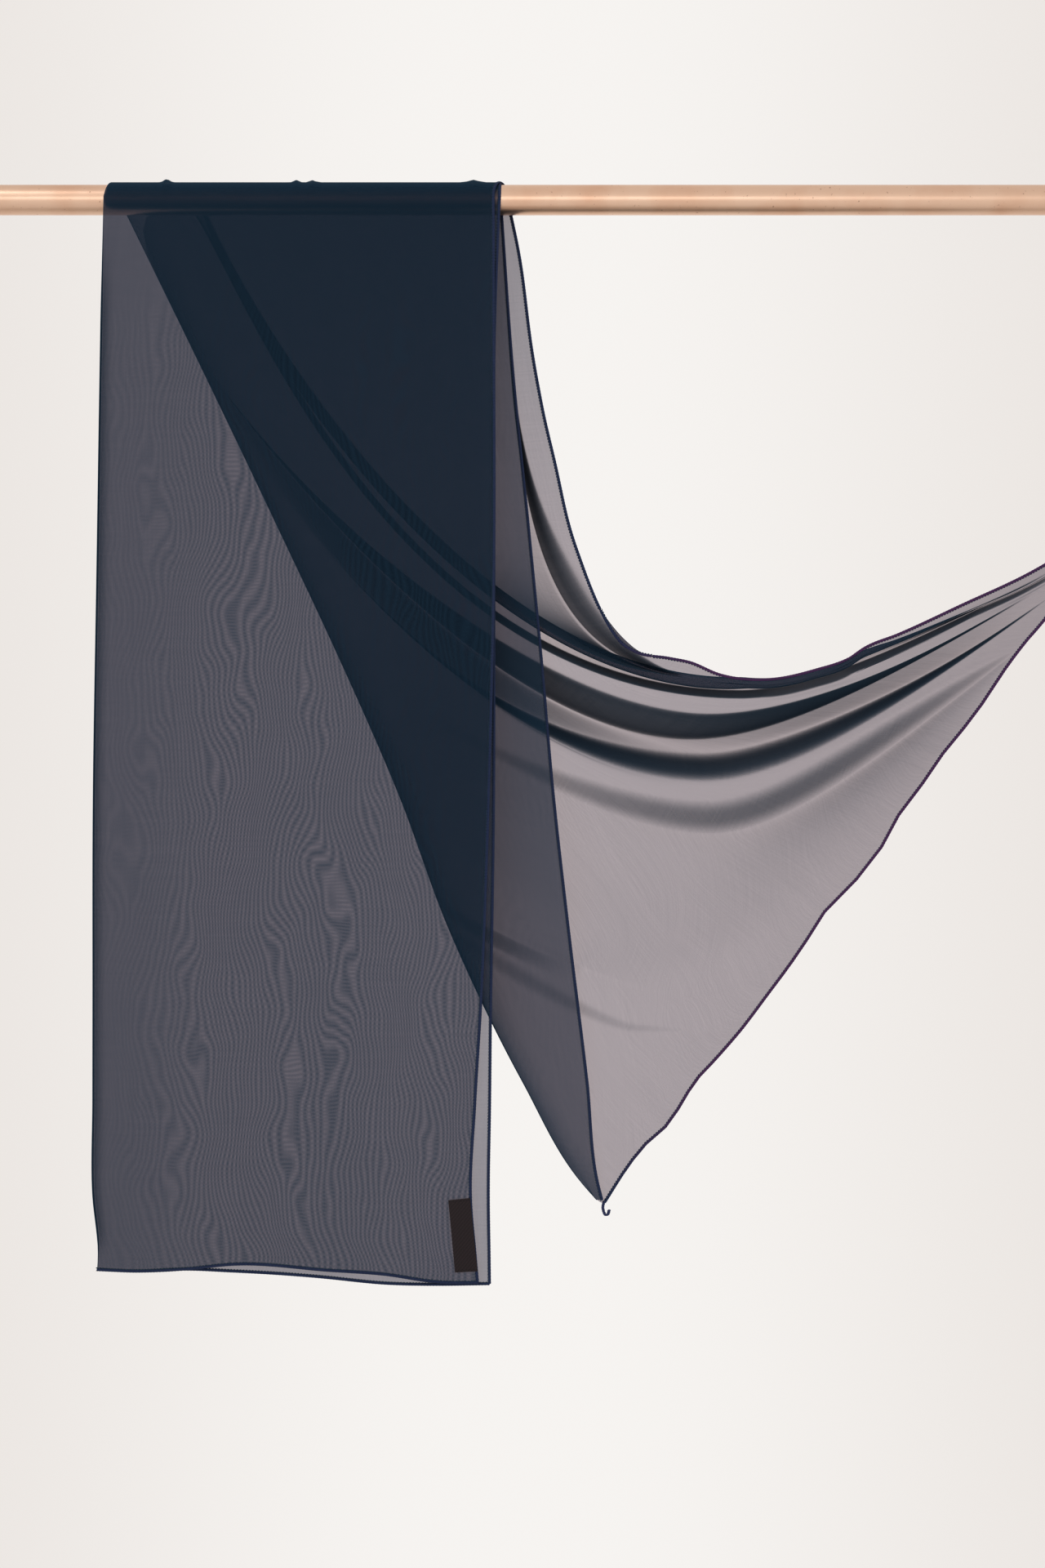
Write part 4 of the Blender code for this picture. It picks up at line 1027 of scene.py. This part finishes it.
class SCARF_OT_rod(bpy.types.Operator):
    """Make the copper-plated rod"""

    bl_idname = "scarf.rod"
    bl_label = "Rod"

    def execute(self, context):
        settings = context.scene.scarf.rod
        half = ROD_LENGTH / 2
        over = settings.round_over
        straight = half - over
        arc = np.linspace(0.0, math.pi / 2, END_STEPS + 1)[1:]
        end = [(half, 0.0), (half, ROD_RADIUS - over)]
        end += [(half - over * (1 - math.cos(a)), ROD_RADIUS - over * (1 - math.sin(a))) for a in arc]
        middle = [(x, ROD_RADIUS) for x in np.linspace(straight, -straight, ROD_STEPS + 1)[1:-1]]
        profile = end + middle + [(-x, r) for x, r in reversed(end)]
        shape = bmesh.new()
        line = [shape.verts.new((x, 0.0, r)) for x, r in profile]
        edges = [shape.edges.new(pair) for pair in zip(line, line[1:])]
        bmesh.ops.spin(
            shape, geom=line + edges, cent=(0, 0, 0), axis=(1, 0, 0), angle=math.tau, steps=settings.sides,
            use_merge=True,
        )
        bmesh.ops.remove_doubles(shape, verts=shape.verts, dist=1e-6)
        bmesh.ops.recalc_face_normals(shape, faces=shape.faces)
        mesh = bpy.data.meshes.new("copper_rod")
        shape.to_mesh(mesh)
        shape.free()
        mesh.shade_smooth()
        mesh.set_sharp_from_angle(angle=math.radians(40))
        mesh.materials.append(copper_plate(settings))
        made = link_object("copper_rod", mesh)
        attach(made, BODY)
        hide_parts("rod")
        return {"FINISHED"}


class SCARF_OT_cloth(bpy.types.Operator):
    """Drape the chiffon: the front leg, the stretch over the rod, the back flap and the swag, as one cloth"""

    bl_idname = "scarf.cloth"
    bl_label = "Chiffon"

    def execute(self, context):
        settings = context.scene.scarf.cloth
        front, front_beat = front_surface(LEG_ROWS, PLY_COLUMNS)
        top = top_surface(TOP_ROWS, PLY_COLUMNS)
        flap = flap_surface(LEG_ROWS, FLAP_COLUMNS)
        swag = swag_surface(settings.columns, settings.rows_per_span)
        made = cloth_object("chiffon", (front, top, flap, swag), silk_chiffon(settings))
        beats = (front_beat, np.zeros(top.shape[:2]), np.full(flap.shape[:2], FLAP_BEAT), np.zeros(swag.shape[:2]))
        # The swag's weave is drawn open, on the bias. The other plies hang close.
        closer = ease(1 - np.abs(-flap[..., 2] - FLAP_CLOSEST) / FLAP_CLOSER_REACH)
        bunched = ease(1 - (flap[..., 0] - flap[:, -1:, 0]) / FLAP_BUNCHED_REACH)
        opens = (
            np.full(front.shape[:2], HUNG_OPEN),
            np.full(top.shape[:2], HUNG_OPEN),
            FLAP_OPEN - FLAP_CLOSER * closer - FLAP_BUNCHED * bunched,
            HUNG_OPEN + (1 - HUNG_OPEN) * ease(-swag[..., 2] / DRAWN_DROP),
        )
        for key, parts in (("beat", beats), ("open", opens)):
            values = np.concatenate([part.ravel() for part in parts]).astype(np.float32)
            made.data.attributes.new(key, "FLOAT", "POINT").data.foreach_set("value", values)
        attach(made, BODY)
        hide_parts("front_leg", "over_rod", "back_flap", "back_swag")
        return {"FINISHED"}


class SCARF_OT_hems(bpy.types.Operator):
    """Roll and overlock the hems"""

    bl_idname = "scarf.hems"
    bl_label = "Rolled hems"

    def execute(self, context):
        settings = context.scene.scarf.hem
        roll = rolled_chiffon(settings)
        tree = roll_tree(settings)
        paths = hem_paths()
        for node, path in paths.items():
            hem = baked([path], tree, {"Finish": roll}, "rolled_" + node)
            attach(hem, BODY)
            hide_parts(node)
        threads = {
            "Looper": spun_thread("navy looper thread, spun polyester", settings.looper, settings.violet),
            "Needle": spun_thread("teal needle thread, spun polyester", settings.needle),
        }
        stitches = baked(list(paths.values()), overlock_tree(settings), threads, "overlock_stitches")
        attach(stitches, BODY)
        return {"FINISHED"}


class SCARF_OT_label(bpy.types.Operator):
    """Sew the bare woven label to the near ply"""

    bl_idname = "scarf.label"
    bl_label = "Label"

    def execute(self, context):
        settings = context.scene.scarf.label
        top_left, top_right, bottom_right, bottom_left = (np.array(corner) for corner in LABEL_CORNERS)
        lift = CLOTH_WALL / 2 + SEAM + settings.wall / 2 + LABEL_CLEAR

        def row(down, places, stands):
            left = top_left + (bottom_left - top_left) * down
            right = top_right + (bottom_right - top_right) * down
            x, drop = (left + np.outer(places, right - left)).T
            return front_point(x, 1.0, drop) - (0.0, stands, 0.0)

        grid = np.array([row(down, shares(LABEL_COLUMNS), lift) for down in shares(LABEL_ROWS)])
        made = cloth_object("woven_label", [grid], satin_ribbon(settings))
        thick = made.modifiers.new("ribbon", "SOLIDIFY")
        thick.thickness = settings.wall
        thick.offset = 0.0
        edge = made.modifiers.new("folded edge", "BEVEL")
        edge.width = settings.wall * 0.4
        edge.segments = 2
        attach(made, BODY)
        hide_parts("label")
        # Lockstitches across both short ends, just inside the folded edge
        paths = []
        for down in LABEL_SEAMS:
            line = row(down, LABEL_SEAM, lift + settings.wall / 2 + settings.thread_radius / 3)
            paths.append(hem_path(line, line - (0.0, 0.0, INSIDE)))
        finish = spun_thread("black lockstitch thread, spun polyester", settings.stitch)
        stitches = baked(paths, lockstitch_tree(settings), {"Finish": finish}, "label_stitches")
        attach(stitches, BODY)
        return {"FINISHED"}


class SCARF_OT_tail(bpy.types.Operator):
    """Leave the tail of overlock thread at the hanging corner"""

    bl_idname = "scarf.tail"
    bl_label = "Thread tail"

    def execute(self, context):
        settings = context.scene.scarf.hem
        curve = bpy.data.curves.new("thread_ends", "CURVE")
        curve.dimensions = "3D"
        curve.bevel_depth = settings.thread_radius * TAIL_STOUTNESS
        curve.bevel_resolution = 1
        curve.use_fill_caps = True
        steps = shares(TAIL_STEPS)
        x, y, z = (through_table(TAIL_ROUTE, place, steps) for place in (1, 2, 3))
        out = TAIL_SPREAD + TAIL_FRAYS * steps
        for strand in range(TAIL_STRANDS):
            angle = math.tau * (strand / TAIL_STRANDS + TAIL_TURNS * steps)
            spline = curve.splines.new("POLY")
            spline.points.add(TAIL_STEPS - 1)
            places = np.stack([x + out * np.cos(angle), y + out * np.sin(angle), z, np.ones(TAIL_STEPS)], axis=-1)
            spline.points.foreach_set("co", places.ravel())
        made = link_object("thread_ends", curve)
        curve.materials.append(spun_thread("navy thread ends, spun polyester", settings.looper))
        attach(made, BODY)
        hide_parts("thread_tail")
        return {"FINISHED"}


class SCARF_OT_stage(bpy.types.Operator):
    """Set the wall, the floor, the soft lights and the camera"""

    bl_idname = "scarf.stage"
    bl_label = "Stage"

    def execute(self, context):
        scene = context.scene
        settings = scene.scarf.stage
        scene.world = bpy.data.worlds.new("off-white studio")
        scene.world.use_nodes = True
        tree = scene.world.node_tree
        way = put(tree, "ShaderNodeSeparateXYZ", put(tree, "ShaderNodeTexCoord").outputs["Generated"])
        # The wall darkens a little sideways, and turns to the ceiling's dimmer colour both up and down
        towards = []
        for axis, low, high in ((0, 0.02, 0.28), (2, 0.34, 0.85)):
            off = put(tree, "ShaderNodeMath", way.outputs[axis], operation="ABSOLUTE")
            towards.append(put(tree, "ShaderNodeMapRange", off, low, high, interpolation_type="SMOOTHSTEP"))
        paints = {"Factor": towards[0], "A": settings.wall, "B": settings.wall_side}
        wall = put(tree, "ShaderNodeMix", paints, data_type="RGBA")
        # What the rod mirrors from above and below is brighter than what lights the cloth
        mirrored = put(tree, "ShaderNodeLightPath").outputs["Is Glossy Ray"]
        dimmed = put(tree, "ShaderNodeMath", mirrored, -0.85, 1.0, operation="MULTIPLY_ADD")
        dimmed = put(tree, "ShaderNodeMath", dimmed, towards[1], operation="MULTIPLY")
        room = put(tree, "ShaderNodeMix", {"Factor": dimmed, "A": wall, "B": settings.ceiling}, data_type="RGBA")
        tree.links.new(room.outputs["Result"], tree.nodes["Background"].inputs[0])
        for name, place, size, power in SOFTBOXES:
            lamp = bpy.data.lights.new(name, "AREA")
            lamp.shape = "RECTANGLE"
            lamp.size, lamp.size_y = size
            lamp.energy = power
            hung = link_object(name, lamp)
            hung.location = place
            hung.rotation_euler = (LIT_POINT - hung.location).to_track_quat("-Z", "Y").to_euler()
            hung.visible_camera = False
        bpy.ops.mesh.primitive_circle_add(vertices=96, radius=FLOOR_RADIUS, fill_type="NGON", location=(0, 0, 0))
        floor = context.object
        floor.name = "floor"
        floor.data.transform(mathutils.Matrix.Translation((0.0, 0.0, FLOOR)))
        floor.data.materials.append(matt_paint("pale matt floor paint", settings.floor))
        camera = bpy.data.cameras.new("camera")
        camera.sensor_fit = "VERTICAL"
        camera.sensor_height = 36.0
        camera.lens = camera.sensor_height * settings.distance / (FRAME_ROWS * settings.metres_per_pixel)
        viewer = link_object("camera", camera)
        height = (settings.rod_row - FRAME_ROWS / 2) * settings.metres_per_pixel
        viewer.location = (0.0, -settings.distance, height)
        viewer.rotation_euler = (math.pi / 2, 0.0, 0.0)
        scene.camera = viewer
        scene.view_settings.view_transform = "Standard"
        scene.view_settings.look = "High Contrast"
        scene.cycles.transparent_max_bounces = 32
        return {"FINISHED"}


# ---------------------------------------------------------------- panel and registration


class SCARF_PT_panel(bpy.types.Panel):
    """Lists the scarf's pieces and their settings"""

    bl_idname = "SCARF_PT_panel"
    bl_label = "Chiffon scarf"
    bl_space_type = "VIEW_3D"
    bl_region_type = "UI"
    bl_category = "Scarf"

    def draw(self, context):
        for group, pieces in PANEL_GROUPS:
            settings = getattr(context.scene.scarf, group)
            box = self.layout.box()
            for key in settings.__annotations__:
                box.prop(settings, key)
            for piece in pieces:
                box.operator(piece.bl_idname)


PANEL_GROUPS = (
    ("rod", (SCARF_OT_rod,)),
    ("cloth", (SCARF_OT_cloth,)),
    ("hem", (SCARF_OT_hems, SCARF_OT_tail)),
    ("label", (SCARF_OT_label,)),
    ("stage", (SCARF_OT_stage,)),
)
SETTINGS = (ClothSettings, HemSettings, RodSettings, LabelSettings, StageSettings, ScarfSettings)
OPERATORS = (SCARF_OT_rod, SCARF_OT_cloth, SCARF_OT_hems, SCARF_OT_label, SCARF_OT_tail, SCARF_OT_stage)


def register():
    for kind in (*SETTINGS, *OPERATORS, SCARF_PT_panel):
        bpy.utils.register_class(kind)
    bpy.types.Scene.scarf = PointerProperty(type=ScarfSettings)


def unregister():
    del bpy.types.Scene.scarf
    for kind in reversed((*SETTINGS, *OPERATORS, SCARF_PT_panel)):
        bpy.utils.unregister_class(kind)


def main():
    register()
    bpy.ops.scarf.rod()
    bpy.ops.scarf.cloth()
    bpy.ops.scarf.hems()
    bpy.ops.scarf.label()
    bpy.ops.scarf.tail()
    bpy.ops.scarf.stage()


if __name__ == "__main__":
    main()
